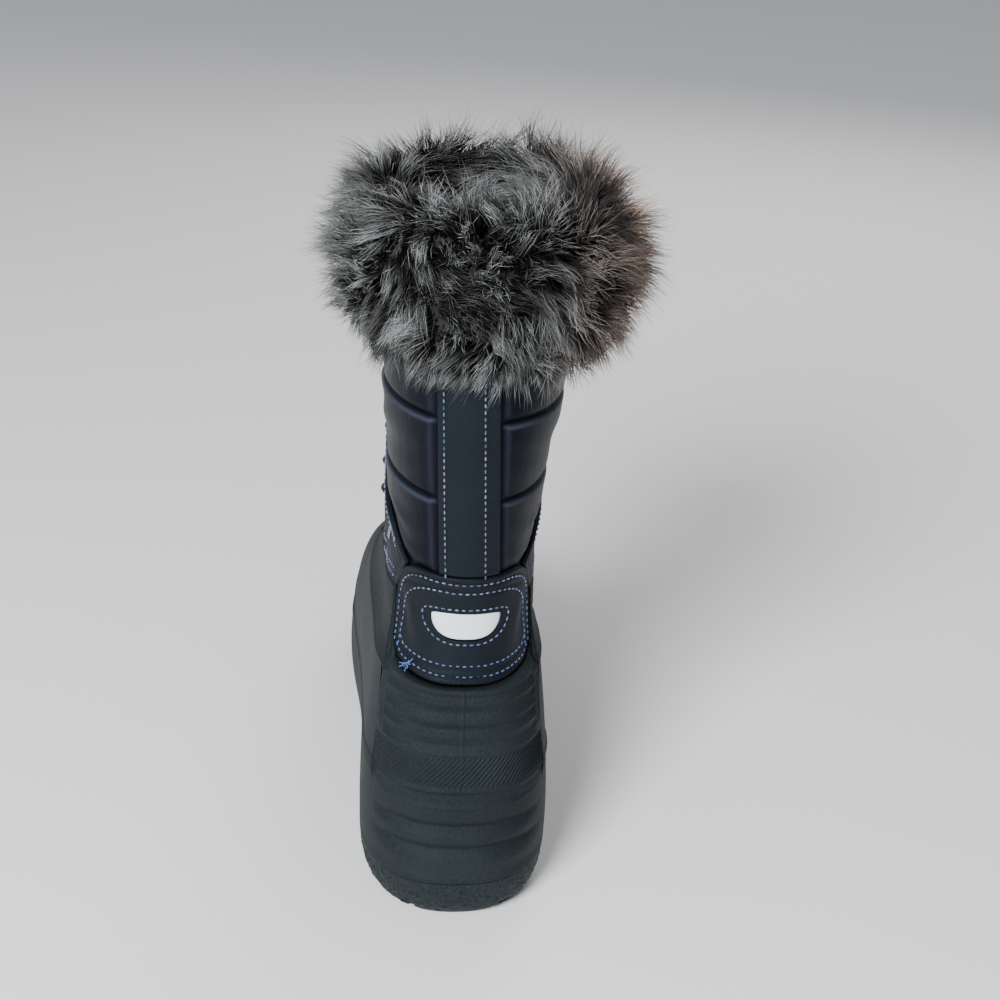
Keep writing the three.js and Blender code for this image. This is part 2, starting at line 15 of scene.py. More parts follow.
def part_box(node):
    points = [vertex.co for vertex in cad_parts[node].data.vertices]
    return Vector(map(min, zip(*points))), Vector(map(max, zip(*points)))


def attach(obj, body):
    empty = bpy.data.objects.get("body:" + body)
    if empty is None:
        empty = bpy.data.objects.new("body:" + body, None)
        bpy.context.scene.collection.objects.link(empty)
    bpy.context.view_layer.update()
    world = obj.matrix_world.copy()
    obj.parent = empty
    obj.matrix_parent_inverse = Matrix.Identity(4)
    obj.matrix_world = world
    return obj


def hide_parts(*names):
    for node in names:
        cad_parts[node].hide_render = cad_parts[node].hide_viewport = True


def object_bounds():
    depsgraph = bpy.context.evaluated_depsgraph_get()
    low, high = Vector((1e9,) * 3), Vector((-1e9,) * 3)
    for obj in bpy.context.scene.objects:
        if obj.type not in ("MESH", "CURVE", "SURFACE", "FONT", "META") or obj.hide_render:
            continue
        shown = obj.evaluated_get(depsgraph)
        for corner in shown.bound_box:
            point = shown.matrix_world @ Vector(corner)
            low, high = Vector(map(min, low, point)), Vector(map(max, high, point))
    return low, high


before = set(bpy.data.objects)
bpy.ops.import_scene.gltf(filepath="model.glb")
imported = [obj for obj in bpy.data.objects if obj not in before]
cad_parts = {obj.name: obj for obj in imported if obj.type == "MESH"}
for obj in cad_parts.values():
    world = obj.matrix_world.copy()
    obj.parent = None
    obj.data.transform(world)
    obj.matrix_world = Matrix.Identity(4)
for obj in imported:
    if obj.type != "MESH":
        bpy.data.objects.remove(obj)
cad_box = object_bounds()

# ---------------------------------------------------------------------------------------------
# Floor, light and camera. A pale floor and a pale room, one large soft light over the heel side,
# and the camera behind the heel, a little to the inner side, looking down.
MM = 0.001


def add_node(tree, kind, feeds=None, **settings):
    """A node with its settings, each input fed with a value or with another node's output."""
    node = tree.nodes.new(kind)
    for name, value in settings.items():
        setattr(node, name, value)
    for name, value in (feeds or {}).items():
        if hasattr(value, "is_output"):
            tree.links.new(value, node.inputs[name])
        else:
            node.inputs[name].default_value = value
    return node


def new_finish(name, **numbers):
    """A material, its node tree and its shader, with plain numbers set on the shader's sockets."""
    material = bpy.data.materials.new(name)
    material.use_nodes = True
    tree = material.node_tree
    tree.nodes.clear()
    feeds = {label.replace("_", " "): value for label, value in numbers.items()}
    shader = add_node(tree, "ShaderNodeBsdfPrincipled", feeds)
    add_node(tree, "ShaderNodeOutputMaterial", {"Surface": shader.outputs["BSDF"]})
    return material, tree, shader


def area_light(name, place, aim, size, watts, colour):
    """A round soft lamp at a place in metres, turned to an aim."""
    lamp = bpy.data.lights.new(name, "AREA")
    lamp.shape, lamp.size, lamp.energy, lamp.color = "DISK", size, watts, colour
    holder = bpy.data.objects.new(name, lamp)
    holder.location = place
    holder.rotation_mode = "QUATERNION"
    holder.rotation_quaternion = (Vector(aim) - Vector(place)).to_track_quat("-Z", "Y")
    bpy.context.scene.collection.objects.link(holder)


world = bpy.data.worlds.new("pale room")
world.use_nodes = True
sky = world.node_tree.nodes["Background"].inputs
sky["Color"].default_value = (0.93, 0.95, 1.0, 1)
sky["Strength"].default_value = 0.38
bpy.context.scene.world = world

FLOOR_HALF = 3
floor_mesh = bpy.data.meshes.new("floor")
floor_corners = [(FLOOR_HALF * x, FLOOR_HALF * y, 0) for x, y in ((-1, -1), (1, -1), (1, 1), (-1, 1))]
floor_mesh.from_pydata(floor_corners, [], [(0, 1, 2, 3)])
floor = bpy.data.objects.new("floor", floor_mesh)
bpy.context.scene.collection.objects.link(floor)
floor_mesh.materials.append(new_finish("pale floor", Base_Color=(0.95, 0.95, 0.955, 1), Roughness=0.8)[0])

boot_middle = (cad_box[0] + cad_box[1]) / 2
area_light("key", (0.62, 1.1, 0.98), boot_middle, 0.6, 46, (0.98, 0.99, 1.0))
area_light("front", (-0.5, -1.2, 0.95), boot_middle, 0.9, 7, (1.0, 0.97, 0.94))

CAMERA = {"elevation": 23.5, "azimuth": 5.7, "distance": 0.622, "roll": 3.0, "lens": 61.2}
CAMERA_AIM = Vector((-0.0124, 0, 0.1598))
elevation, azimuth = math.radians(CAMERA["elevation"]), math.radians(CAMERA["azimuth"])
level = math.cos(elevation)
behind = Vector((math.sin(azimuth) * level, math.cos(azimuth) * level, math.sin(elevation)))
camera = bpy.data.objects.new("camera", bpy.data.cameras.new("camera"))
camera.data.lens = CAMERA["lens"]
camera.location = CAMERA_AIM + behind * CAMERA["distance"]
camera.rotation_mode = "QUATERNION"
roll = Quaternion((0, 0, 1), math.radians(CAMERA["roll"]))
camera.rotation_quaternion = (-behind).to_track_quat("-Z", "Y") @ roll
bpy.context.scene.collection.objects.link(camera)
bpy.context.scene.camera = camera

# ---------------------------------------------------------------------------------------------
# Lace ends. The braided elastic cord leaves the top loops, turns over under its own weight and
# hangs in front of the tongue, where a small moulded clip holds both ends together.
CORD_DIAMETER = 2.4
# The inner end's path. The outer end's is the same, turned over about the middle between them.
INNER_END = np.array([
    (22.6, -64.5, 202.2), (22.7, -64.8, 204.2), (22.5, -65.9, 206), (21.8, -67.7, 207.4),
    (20.6, -69.9, 207.9), (19, -72.2, 207.2), (17.2, -74.4, 205.3), (15.2, -76.5, 202.5),
    (13, -78.5, 199.1), (10.6, -80.3, 195.5), (8.1, -81.9, 191.9), (5.4, -83.2, 188.3),
    (2.4, -83.9, 184.8), (0.2, -84.2, 181.3), (-0.3, -84.2, 177.6),
])
ENDS_MIDDLE = -2.15
CORD_SIDES = 10
PATH_STEPS = 4  # of the finer path between two of its points
BRAID_SCALE = 285.45  # of the waves that stand for the cord's woven ridges


def maths(tree, operation, *values, kind="Math", **named):
    """The result of a maths node on numbers or other nodes' outputs."""
    feeds = {**dict(enumerate(values)), **named}
    return add_node(tree, f"ShaderNode{kind}", feeds, operation=operation).outputs[0]


def texture(tree, kind, output, **numbers):
    """One output of a texture in the piece's own coordinates."""
    where = add_node(tree, "ShaderNodeTexCoord").outputs["Object"]
    return add_node(tree, f"ShaderNodeTex{kind}", {"Vector": where, **numbers}).outputs[output]


def colour_run(tree, factor, dark, light, span=(0, 1)):
    """A colour that runs from dark to light over a span of a factor."""
    tint = add_node(tree, "ShaderNodeValToRGB", {"Fac": factor})
    for stop, place, colour in zip(tint.color_ramp.elements, span, (dark, light)):
        stop.position = place
        stop.color = (*colour, 1)
    return tint.outputs["Color"]


def raised(tree, height, strength, distance, **under):
    """A normal from a height, which may lie over another normal."""
    feeds = {"Strength": strength, "Distance": distance, "Height": height, **under}
    return add_node(tree, "ShaderNodeBump", feeds).outputs["Normal"]


def dress(tree, shader, colour, normal):
    """Joins a colour and a normal to a shader."""
    tree.links.new(colour, shader.inputs["Base Color"])
    tree.links.new(normal, shader.inputs["Normal"])


def braid_finish():
    """Fine diagonal and cross ridges, as on a braided elastic cord."""
    material, tree, shader = new_finish("braided cord", Roughness=0.62, Specular_IOR_Level=0.35)
    place = add_node(tree, "ShaderNodeAttribute", attribute_name="lay").outputs["Vector"]
    waves = {"Vector": place, "Scale": BRAID_SCALE, "Distortion": 0.4}
    ridges = [
        add_node(tree, "ShaderNodeTexWave", waves, bands_direction=direction).outputs["Fac"]
        for direction in ("DIAGONAL", "Y")
    ]
    woven = maths(tree, "MAXIMUM", *ridges)
    tint = colour_run(tree, woven, (0.004, 0.0045, 0.006), (0.022, 0.023, 0.028))
    dress(tree, shader, tint, raised(tree, woven, 0.6, 0.0003))
    return material


MERGE_WITHIN = 2e-6  # metres


def closed_mesh(name, points, faces, material, slot, smooth=True, **attributes):
    """A mesh piece of the boot from points in millimetres, its doubles merged and its faces out."""
    mesh = bpy.data.meshes.new(name)
    mesh.from_pydata((np.asarray(points).reshape(-1, 3) * MM).tolist(), [], [tuple(f) for f in faces])
    for label, values in attributes.items():
        flat = np.asarray(values, np.float32)
        kind = "FLOAT" if flat.size == len(mesh.vertices) else "FLOAT_VECTOR"
        layer = mesh.attributes.new(label, kind, "POINT")
        layer.data.foreach_set("value" if kind == "FLOAT" else "vector", flat.ravel())
    shaped = bmesh.new()
    shaped.from_mesh(mesh)
    bmesh.ops.remove_doubles(shaped, verts=shaped.verts, dist=MERGE_WITHIN)
    bmesh.ops.dissolve_degenerate(shaped, edges=shaped.edges, dist=MERGE_WITHIN / 20)
    bmesh.ops.recalc_face_normals(shaped, faces=shaped.faces)
    for face in shaped.faces:
        face.smooth = smooth
    shaped.to_mesh(mesh)
    shaped.free()
    mesh.materials.append(material)
    piece = bpy.data.objects.new(name, mesh)
    bpy.context.scene.collection.objects.link(piece)
    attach(piece, "root")
    return piece


def grid_faces(rows, columns, wrap_rows=False, wrap_columns=False):
    """Quads of a grid of points, row by row."""
    i = np.arange(rows if wrap_rows else rows - 1)[:, None]
    j = np.arange(columns if wrap_columns else columns - 1)[None, :]
    after_i, after_j = (i + 1) % rows, (j + 1) % columns
    start, after = i * columns, after_i * columns
    corners = [start + j, start + after_j, after + after_j, after + j]
    return np.stack([c + np.zeros_like(i + j) for c in corners], -1).reshape(-1, 4)


def smooth_path(points, per_step):
    """A finer path through points, on a centripetal curve."""
    points = np.asarray(points, float)
    padded = np.vstack([2 * points[0] - points[1], points, 2 * points[-1] - points[-2]])
    found = []
    for p0, p1, p2, p3 in zip(padded, padded[1:], padded[2:], padded[3:]):
        t1 = np.linalg.norm(p1 - p0) ** 0.5
        t2 = t1 + np.linalg.norm(p2 - p1) ** 0.5
        t3 = t2 + np.linalg.norm(p3 - p2) ** 0.5
        for t in np.linspace(t1, t2, per_step, endpoint=False):
            a1 = p0 * (t1 - t) / t1 + p1 * t / t1
            a2 = p1 * (t2 - t) / (t2 - t1) + p2 * (t - t1) / (t2 - t1)
            a3 = p2 * (t3 - t) / (t3 - t2) + p3 * (t - t2) / (t3 - t2)
            b1 = a1 * (t2 - t) / t2 + a2 * t / t2
            b2 = a2 * (t3 - t) / (t3 - t1) + a3 * (t - t1) / (t3 - t1)
            found.append(b1 * (t2 - t) / (t2 - t1) + b2 * (t - t1) / (t2 - t1))
    return np.vstack([found, points[-1]])


def way_along(points):
    """Distance from the first of some points to each of them, along the line through them."""
    return np.concatenate([[0], np.cumsum(np.linalg.norm(np.diff(points, axis=0), axis=1))])


def sweep(path, radius, sides):
    """Rings round a path without twist, closed at both ends, and how far along and round they lie."""
    path = np.asarray(path, float)
    tangents = np.gradient(path, axis=0)
    tangents /= np.linalg.norm(tangents, axis=1)[:, None]
    side = np.cross(tangents[0], (0.31, 0.87, 0.38))
    rings = []
    for point, tangent in zip(path, tangents):
        side = side - tangent * (side @ tangent)
        side /= np.linalg.norm(side)
        other = np.cross(tangent, side)
        angles = np.arange(sides) * 2 * math.pi / sides
        rings.append(point + radius * (np.cos(angles)[:, None] * side + np.sin(angles)[:, None] * other))
    rings = [path[:1].repeat(sides, 0), *rings, path[-1:].repeat(sides, 0)]
    along = way_along(path)
    along = np.concatenate([along[:1], along, along[-1:]])
    round_it = np.arange(sides) / sides * 2 * math.pi * radius
    lay = np.stack(np.broadcast_arrays(round_it[None, :], along[:, None], 0), -1) * MM
    return np.array(rings), lay


def cord_piece(name, paths, radius, sides, material, slot):
    """One piece of one or more swept cords."""
    points, lays, faces, start = [], [], [], 0
    for path in paths:
        rings, lay = sweep(path, radius, sides)
        faces.append(grid_faces(len(rings), sides, wrap_columns=True) + start)
        points.append(rings.reshape(-1, 3))
        lays.append(lay.reshape(-1, 3))
        start += rings.shape[0] * sides
    return closed_mesh(name, np.vstack(points), np.vstack(faces), material, slot, lay=np.vstack(lays))


braid = braid_finish()
clip_plastic, clip_tree, clip_shader = new_finish(
    "clip plastic", Base_Color=(0.008, 0.009, 0.011, 1), Roughness=0.38
)
clip_grain = texture(clip_tree, "Noise", "Fac", Scale=6000, Detail=3)
clip_tree.links.new(raised(clip_tree, clip_grain, 0.15, 0.0002), clip_shader.inputs["Normal"])

# The clip is a flat moulding with soft corners, dished between its two cord sockets.
CLIP_RING = 40
CLIP_CORNERS = 0.45  # power of the rounds at its corners
# Rings from the middle of one face to the middle of the other: share of the half size, and depth.
CLIP_RINGS = [
    (0, -0.8), (0.55, -0.8), (0.86, -0.97), (1, -0.6), (1, 0.6), (0.86, 0.97), (0.55, 0.8), (0, 0.8),
]
clip_low, clip_high = (np.array(corner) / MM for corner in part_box("lace_clip"))
clip_half = (clip_high - clip_low) / 2
clip_centre = (clip_high + clip_low) / 2
clip_angles = np.arange(CLIP_RING) * 2 * math.pi / CLIP_RING
clip_sides = np.cos(clip_angles), np.sin(clip_angles)
clip_across, clip_up = (np.sign(side) * np.abs(side) ** CLIP_CORNERS for side in clip_sides)
clip_rings = []
for share, depth in CLIP_RINGS:
    ring = np.stack([share * clip_across, depth + 0 * clip_across, share * clip_up], -1)
    clip_rings.append(clip_centre + clip_half * ring)
clip_faces = grid_faces(len(clip_rings), CLIP_RING, wrap_columns=True)
lace_clip = closed_mesh("clip", clip_rings, clip_faces, clip_plastic, "plastic")
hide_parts("lace_clip")

outer_end = INNER_END * (-1, 1, 1) + (2 * ENDS_MIDDLE, 0, 0)
for word, points in {"medial": INNER_END, "lateral": outer_end}.items():
    path = smooth_path(points, PATH_STEPS)
    end = cord_piece(f"cord_end_{word}", [path], CORD_DIAMETER / 2, CORD_SIDES, braid, "cord")
    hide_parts(f"lace_end_{word}")

# ---------------------------------------------------------------------------------------------
# Insole. A felted footbed that lies inside the upper, cupped a little at its edge.
# Its outline is the last's, level by level, which all the pieces below share.
WALL = 3
GAP = 0.3
HEEL_CENTRE = 38
HEEL_SHARE, TOE_SHARE = 0.34, 0.6
LATERAL_BALL = 1.16
COLLAR_LEAN, LEAN_FROM, COLLAR_TOP = 4, 120, 268
WAIST_IN, WAIST_OUT, WAIST_FADE = 4, 1.5, 70
# Columns: z, back, front, heel and toe rounds, half width of the heel, inner and outer half width
# of the ball, sideways place of the tip, and the power of the rounds.
UPPER = np.array([
    [8, 12, 252, 42, 86, 25, 28.5, 31, 3, 2.45],
    [20, 8, 262, 44, 88, 29.4, 32.5, 34.6, 3, 2.45],
    [32, 6, 263, 45, 90, 30.7, 33.4, 35.2, 3, 2.45],
    [44, 5.5, 259, 45, 94, 30.7, 33, 33.6, 3, 2.5],
    [54, 6, 249, 45, 98, 30.4, 32.3, 32.2, 3, 2.5],
    [62, 7, 236, 45, 98, 30, 31.6, 30.8, 2.5, 2.45],
    [72, 8.5, 212, 46, 92, 29.2, 30.6, 29.4, 2, 2.5],
    [85, 10.5, 184, 46, 78, 28, 29.4, 28, 1, 2.5],
    [100, 12.5, 161, 46, 66, 26.8, 27.8, 27, 0, 2.4],
    [118, 14, 142, 46, 58, 26.2, 26.4, 26, 0, 2.25],
    [142, 14, 123, 46, 50, 26.2, 26.2, 26.2, 0, 2.1],
    [168, 12.5, 114, 47, 48, 28.2, 28.2, 28.2, 0, 2],
    [200, 9.5, 113, 48, 50, 31.4, 31.4, 31.4, 0, 2],
    [235, 7.5, 117, 50, 52, 34.2, 34.2, 34.2, 0, 2],
    [278, 6.5, 121, 52, 54, 37, 37, 37, 0, 2],
])
FOOTBED_LINE = [(-8, 30), (60, 29), (110, 27), (160, 22.5), (205, 22), (235, 25), (284, 36)]
INSOLE_THICKNESS = 4.5


def ease(t):
    """A soft step from 0 to 1 as t goes from 0 to 1."""
    t = np.clip(t, 0, 1)
    return t * t * (3 - 2 * t)


def line_at(line, s):
    """Height of a side-view line of (s, z) points."""
    return np.interp(s, [p[0] for p in line], [p[1] for p in line])


def columns_at(rows, z):
    """Every column of a level table at the heights z, on a smooth curve through its rows."""
    levels = rows[:, 0]
    last = len(levels) - 1
    i = np.clip(np.searchsorted(levels, z) - 1, 0, last - 1)

    def slope(k):
        low, high = np.maximum(k - 1, 0), np.minimum(k + 1, last)
        return (rows[high] - rows[low]) / (levels[high] - levels[low])[..., None]

    step = (levels[i + 1] - levels[i])[..., None]
    t = (z - levels[i])[..., None] / step
    return (
        (2 * t**3 - 3 * t**2 + 1) * rows[i]
        + (t**3 - 2 * t**2 + t) * step * slope(i)
        + (3 * t**2 - 2 * t**3) * rows[i + 1]
        + (t**3 - t**2) * step * slope(i + 1)
    )


def outline(rows, z, u):
    """Points of a form's outline at heights z and turns u."""
    z, u = np.broadcast_arrays(np.asarray(z, float), np.asarray(u, float))
    columns = np.moveaxis(columns_at(rows, z), -1, 0)
    back, front, heel, toe, heel_half, ball_in, ball_out, tip, n = columns[1:]
    turn = u - np.floor(u)
    side = np.where(turn <= 0.5, 1.0, -1.0)
    half = np.where(side > 0, turn * 2, (1 - turn) * 2)
    waist_share = np.maximum(0, 1 - z / WAIST_FADE)
    toe = toe * np.where(side > 0, 1, 1 + (LATERAL_BALL - 1) * waist_share)
    ball = np.where(side > 0, ball_in, ball_out)
    heel_end, toe_start = back + heel, front - toe
    heel_turn = np.clip(half / HEEL_SHARE, 0, 1) * math.pi / 2
    middle = np.clip((half - HEEL_SHARE) / (TOE_SHARE - HEEL_SHARE), 0, 1)
    toe_turn = np.clip((half - TOE_SHARE) / (1 - TOE_SHARE), 0, 1) * math.pi / 2
    waist = np.where(side > 0, WAIST_IN, WAIST_OUT) * waist_share * np.sin(math.pi * middle) ** 2
    zones = [half < HEEL_SHARE, half < TOE_SHARE]
    s = np.select(
        zones,
        [
            heel_end - heel * np.abs(np.cos(heel_turn)) ** (2 / n),
            heel_end + (toe_start - heel_end) * middle,
        ],
        toe_start + toe * np.abs(np.sin(toe_turn)) ** (2 / n),
    )
    x = np.select(
        zones,
        [
            side * heel_half * np.abs(np.sin(heel_turn)) ** (2 / n),
            side * (heel_half + (ball - heel_half) * ease(middle) - waist),
        ],
        tip + (side * ball - tip) * np.abs(np.cos(toe_turn)) ** (2 / n),
    )
    lean = COLLAR_LEAN * ease((z - LEAN_FROM) / (COLLAR_TOP - LEAN_FROM))
    return np.stack([x - lean, HEEL_CENTRE - s, z], -1)


TURN_STEP, LEVEL_STEP = 0.002, 0.5  # to either side of a point, to find the normal there
SEARCH_STEP = 0.25


def surface(rows, z, u, offset=0.0):
    """The same points moved out along the surface's own normal."""
    along = outline(rows, z, u + TURN_STEP) - outline(rows, z, u - TURN_STEP)
    up = outline(rows, z + LEVEL_STEP, u) - outline(rows, z - LEVEL_STEP, u)
    normal = np.cross(up, along)
    normal /= np.maximum(np.linalg.norm(normal, axis=-1), 1e-9)[..., None]
    return outline(rows, z, u) + normal * np.asarray(offset, float)[..., None]


def height_where(rows, u, line):
    """Height at which each turn u of a form first rises through a side-view line."""
    levels = np.arange(rows[0, 0], rows[-1, 0], SEARCH_STEP)[:, None]
    over = levels - line_at(line, HEEL_CENTRE - outline(rows, levels, u[None, :])[..., 1])
    first = np.argmax(over > 0, axis=0)
    below = np.take_along_axis(over, np.maximum(first - 1, 0)[None, :], 0)[0]
    above = np.take_along_axis(over, first[None, :], 0)[0]
    share = np.where(first > 0, below / np.minimum(below - above, -1e-9), 0)
    return levels[np.maximum(first - 1, 0), 0] + SEARCH_STEP * np.clip(share, 0, 1)


def even_turns(count):
    """Turns that mirror one another about the toe, from the back round to just before the back."""
    return np.arange(count) / count


def closing_rings(ring, line, steps):
    """Rings from an edge ring in to the boot's middle line, on the height of a side-view line."""
    mirrored = np.roll(ring[::-1], 1, axis=0)
    middle = (ring + mirrored) / 2
    rings = [ring + (middle - ring) * share for share in np.linspace(0, 1, steps + 1)[1:]]
    for inner in rings:
        inner[:, 2] = line_at(line, HEEL_CENTRE - inner[:, 1])
    return rings


felt, felt_tree, felt_shader = new_finish(
    "grey felt", Roughness=0.95, Sheen_Weight=0.35, Sheen_Roughness=0.6
)
fuzz = texture(felt_tree, "Noise", "Fac", Scale=4500, Detail=6, Roughness=0.7)
felt_tint = colour_run(felt_tree, fuzz, (0.05, 0.05, 0.055), (0.2, 0.2, 0.21))
dress(felt_tree, felt_shader, felt_tint, raised(felt_tree, fuzz, 0.7, 0.0008))

INSOLE_COLUMNS = 160
# Its edge, as (share of the thickness, how far it is drawn in).
INSOLE_EDGE = [(0.06, 0), (0.3, 0), (0.6, 0.1), (1, 0.8)]
insole_turns = even_turns(INSOLE_COLUMNS)
insole_foot = [(s, z - INSOLE_THICKNESS) for s, z in FOOTBED_LINE]
insole_rings = []
for share, cup in INSOLE_EDGE:
    line = [(s, z - INSOLE_THICKNESS * (1 - share)) for s, z in FOOTBED_LINE]
    heights = height_where(UPPER, insole_turns, line)
    insole_rings.append(surface(UPPER, heights, insole_turns, -WALL - GAP - cup))
insole_points = [
    *closing_rings(insole_rings[0], insole_foot, steps=6)[::-1],
    *insole_rings,
    *closing_rings(insole_rings[-1], FOOTBED_LINE, steps=14),
]
insole_faces = grid_faces(len(insole_points), INSOLE_COLUMNS, wrap_columns=True)
insole = closed_mesh("felt_insole", insole_points, insole_faces, felt, "felt")
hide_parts("insole")

# ---------------------------------------------------------------------------------------------
# Outsole. Solid rubber under the shell, stippled round its edge, with grooves cut across it in
# pairs that slope back from a rib down the middle and leave the lugs.
SHELL = np.array([
    [-2, 8, 260, 44, 88, 29.5, 32.2, 34.6, 4, 2.45],
    [4, 3, 268, 45, 90, 33.9, 36.2, 38.6, 4, 2.45],
    [12, 0.6, 272.5, 46, 92, 36.2, 38.6, 40.6, 4, 2.45],
    [24, 0, 274, 46, 92, 36.8, 40.2, 41.8, 4, 2.45],
    [36, 0.2, 273, 46, 94, 36.7, 39, 40, 4, 2.45],
    [48, 0.8, 268, 46, 98, 36.1, 38.2, 37.8, 4, 2.5],
    [58, 1.8, 257, 46, 104, 35.5, 37.2, 36, 4, 2.5],
    [67, 3, 238, 47, 102, 34.8, 36.4, 34.4, 3, 2.45],
    [77, 4.4, 211, 48, 92, 33.8, 35.2, 32.8, 2, 2.5],
    [90, 6.4, 184, 49, 78, 32.4, 33.6, 31.2, 1, 2.5],
    [97, 7.6, 174, 49, 74, 31.4, 32.4, 30.4, 0, 2.45],
    [102, 10, 165, 49, 68, 29, 30.2, 29.2, 0, 2.4],
    [118, 11.6, 145.5, 49, 60, 28.5, 29, 28.4, 0, 2.25],
    [132, 11.8, 133, 49, 54, 28.4, 28.3, 28.5, 0, 2.2],
])
UNDERSIDE_LINE = [
    (-8, 2), (2, 1), (8, 0), (78, 0), (90, 3), (112, 3.4), (130, 0), (204, 0), (226, 2), (248, 6.4),
    (266, 12.5), (284, 20),
]
OUTSOLE_TOP_LINE = [
    (-8, 17), (80, 17), (105, 16.5), (135, 13), (200, 12.5), (228, 15), (252, 20), (284, 29),
]
GROOVE = {"width": 4.5, "depth": 4.5, "length": 70, "angle": 0.32, "rib_half": 3}
GROOVE_STATIONS = (14, 30, 46, 62, 136, 152, 168, 184, 200, 216, 232)
STIPPLE_HEIGHT = 0.16  # of the coarse grain round the outsole's edge
TREAD_ROUGH = 2.2  # of its fine grain, against the 1 of a plain stipple


def run_over(tree, driver, start, end, at_start=0.0, at_end=1.0):
    """A number that goes from one value to another as its driver goes from start to end."""
    span = {"From Min": start, "From Max": end, "To Min": at_start, "To Max": at_end}
    return add_node(tree, "ShaderNodeMapRange", {"Value": driver, **span}).outputs["Result"]


def rubber_finish(name, dark, light, roughness):
    """Moulded rubber: a fine skin everywhere, and a coarse stipple where the attribute rough says, with its
    raised pebbles painted lighter as a highlight.
    """
    material, tree, shader = new_finish(
        name, Roughness=roughness, Specular_IOR_Level=0.12, Specular_Tint=(0.8, 0.92, 1.0, 1)
    )
    clouds = texture(tree, "Noise", "Fac", Scale=28, Detail=5)
    skin = texture(tree, "Noise", "Fac", Scale=1500, Detail=3)
    pebble = texture(tree, "Noise", "Fac", Scale=720, Detail=3, Roughness=0.7)
    rough = add_node(tree, "ShaderNodeAttribute", attribute_name="rough").outputs["Fac"]
    speckle = run_over(tree, skin, 0.35, 0.7)
    coarse = maths(tree, "MULTIPLY", pebble, rough)
    # Painted highlight: the stipple's pebble height is also mixed into the colour, so the raised tops of
    # the pebbles come out lighter.
    pebble_highlight_and_clouds = maths(tree, "MULTIPLY_ADD", coarse, 0.2, clouds)
    mixed = maths(tree, "MULTIPLY_ADD", speckle, 0.42, pebble_highlight_and_clouds)
    height = maths(tree, "MULTIPLY_ADD", skin, 0.2, coarse)
    tint = colour_run(tree, mixed, dark, light, (0.35, 0.95))
    dress(tree, shader, tint, raised(tree, height, 1.0, 0.0018))
    return material


def bake(piece):
    """Puts what a piece's modifiers make in place of its mesh."""
    depsgraph = bpy.context.evaluated_depsgraph_get()
    made = bpy.data.meshes.new_from_object(
        piece.evaluated_get(depsgraph), preserve_all_data_layers=True, depsgraph=depsgraph
    )
    piece.modifiers.clear()
    piece.data = made


def cut_away(piece, cutter_points, cutter_faces):
    """Takes a closed cutter out of a piece, with Blender's exact boolean."""
    mesh = bpy.data.meshes.new("cutter")
    mesh.from_pydata((np.asarray(cutter_points) * MM).tolist(), [], cutter_faces)
    cutter = bpy.data.objects.new("cutter", mesh)
    bpy.context.scene.collection.objects.link(cutter)
    shaped = bmesh.new()
    shaped.from_mesh(mesh)
    bmesh.ops.recalc_face_normals(shaped, faces=shaped.faces)
    shaped.to_mesh(mesh)
    shaped.free()
    cut = piece.modifiers.new("cut", "BOOLEAN")
    cut.operation, cut.solver, cut.object = "DIFFERENCE", "EXACT", cutter
    bake(piece)
    bpy.data.objects.remove(cutter)


RIPPLE_WAVES = 9


def ripple(points, size, seed):
    """A soft random field over points, from a few crossing waves of one size."""
    waves = np.random.default_rng(seed)
    total = np.zeros(points.shape[:-1])
    for _ in range(RIPPLE_WAVES):
        direction = waves.normal(size=3)
        direction *= 2 * math.pi / size / np.linalg.norm(direction)
        total += np.sin(points @ direction + waves.uniform(0, 2 * math.pi))
    return total / math.sqrt(RIPPLE_WAVES)


tread_rubber = rubber_finish(
    "stippled tread rubber", (0.0054, 0.0074, 0.0084), (0.0260, 0.0340, 0.0375), 0.46
)
OUTSOLE_COLUMNS = 680
OUTSOLE_LEVELS = 26
EDGE_TUCK = 0.15  # by which the edge lies inside its plain form
outsole_turns = even_turns(OUTSOLE_COLUMNS)
outsole_foot = height_where(SHELL, outsole_turns, UNDERSIDE_LINE)
outsole_top = height_where(SHELL, outsole_turns, OUTSOLE_TOP_LINE)
outsole_rings = []
for share in np.linspace(0, 1, OUTSOLE_LEVELS):
    level = outsole_foot + (outsole_top - outsole_foot) * share
    plain = surface(SHELL, level, outsole_turns)
    fade = min(1, 8 * share * (1 - share))
    grain = STIPPLE_HEIGHT * fade * (ripple(plain, 2.4, 5) + 0.7 * ripple(plain, 1.7, 6))
    outsole_rings.append(surface(SHELL, level, outsole_turns, grain - EDGE_TUCK))
outsole_points = [
    *closing_rings(outsole_rings[0], UNDERSIDE_LINE, steps=12)[::-1],
    *outsole_rings,
    *closing_rings(outsole_rings[-1], OUTSOLE_TOP_LINE, steps=6),
]
outsole_faces = grid_faces(len(outsole_points), OUTSOLE_COLUMNS, wrap_columns=True)
outsole_rough = np.full((len(outsole_points), OUTSOLE_COLUMNS), TREAD_ROUGH)
outsole = closed_mesh(
    "lugged_outsole", outsole_points, outsole_faces, tread_rubber, "tread", rough=outsole_rough
)
BAR_BELOW = 6  # how far the bars that cut the grooves reach under the sole
BAR_SIDES = [(0, 1, 3, 2), (4, 6, 7, 5), (0, 4, 5, 1), (2, 3, 7, 6), (0, 2, 6, 4), (1, 5, 7, 3)]
sine, cosine = math.sin(GROOVE["angle"]), math.cos(GROOVE["angle"])
bar_corners = [
    (along, across, rise)
    for along in (0, GROOVE["length"])
    for across in (-GROOVE["width"] / 2, GROOVE["width"] / 2)
    for rise in (-BAR_BELOW, GROOVE["depth"])
]
bar_points, bar_faces = [], []
for s in GROOVE_STATIONS:
    for side in (1, -1):
        bar_faces += [tuple(len(bar_points) + corner for corner in face) for face in BAR_SIDES]
        for along, across, rise in bar_corners:
            x = GROOVE["rib_half"] + along * cosine - across * sine
            y = HEEL_CENTRE - s + along * sine + across * cosine
            bar_points.append((side * x, y, line_at(UNDERSIDE_LINE, s) + rise))
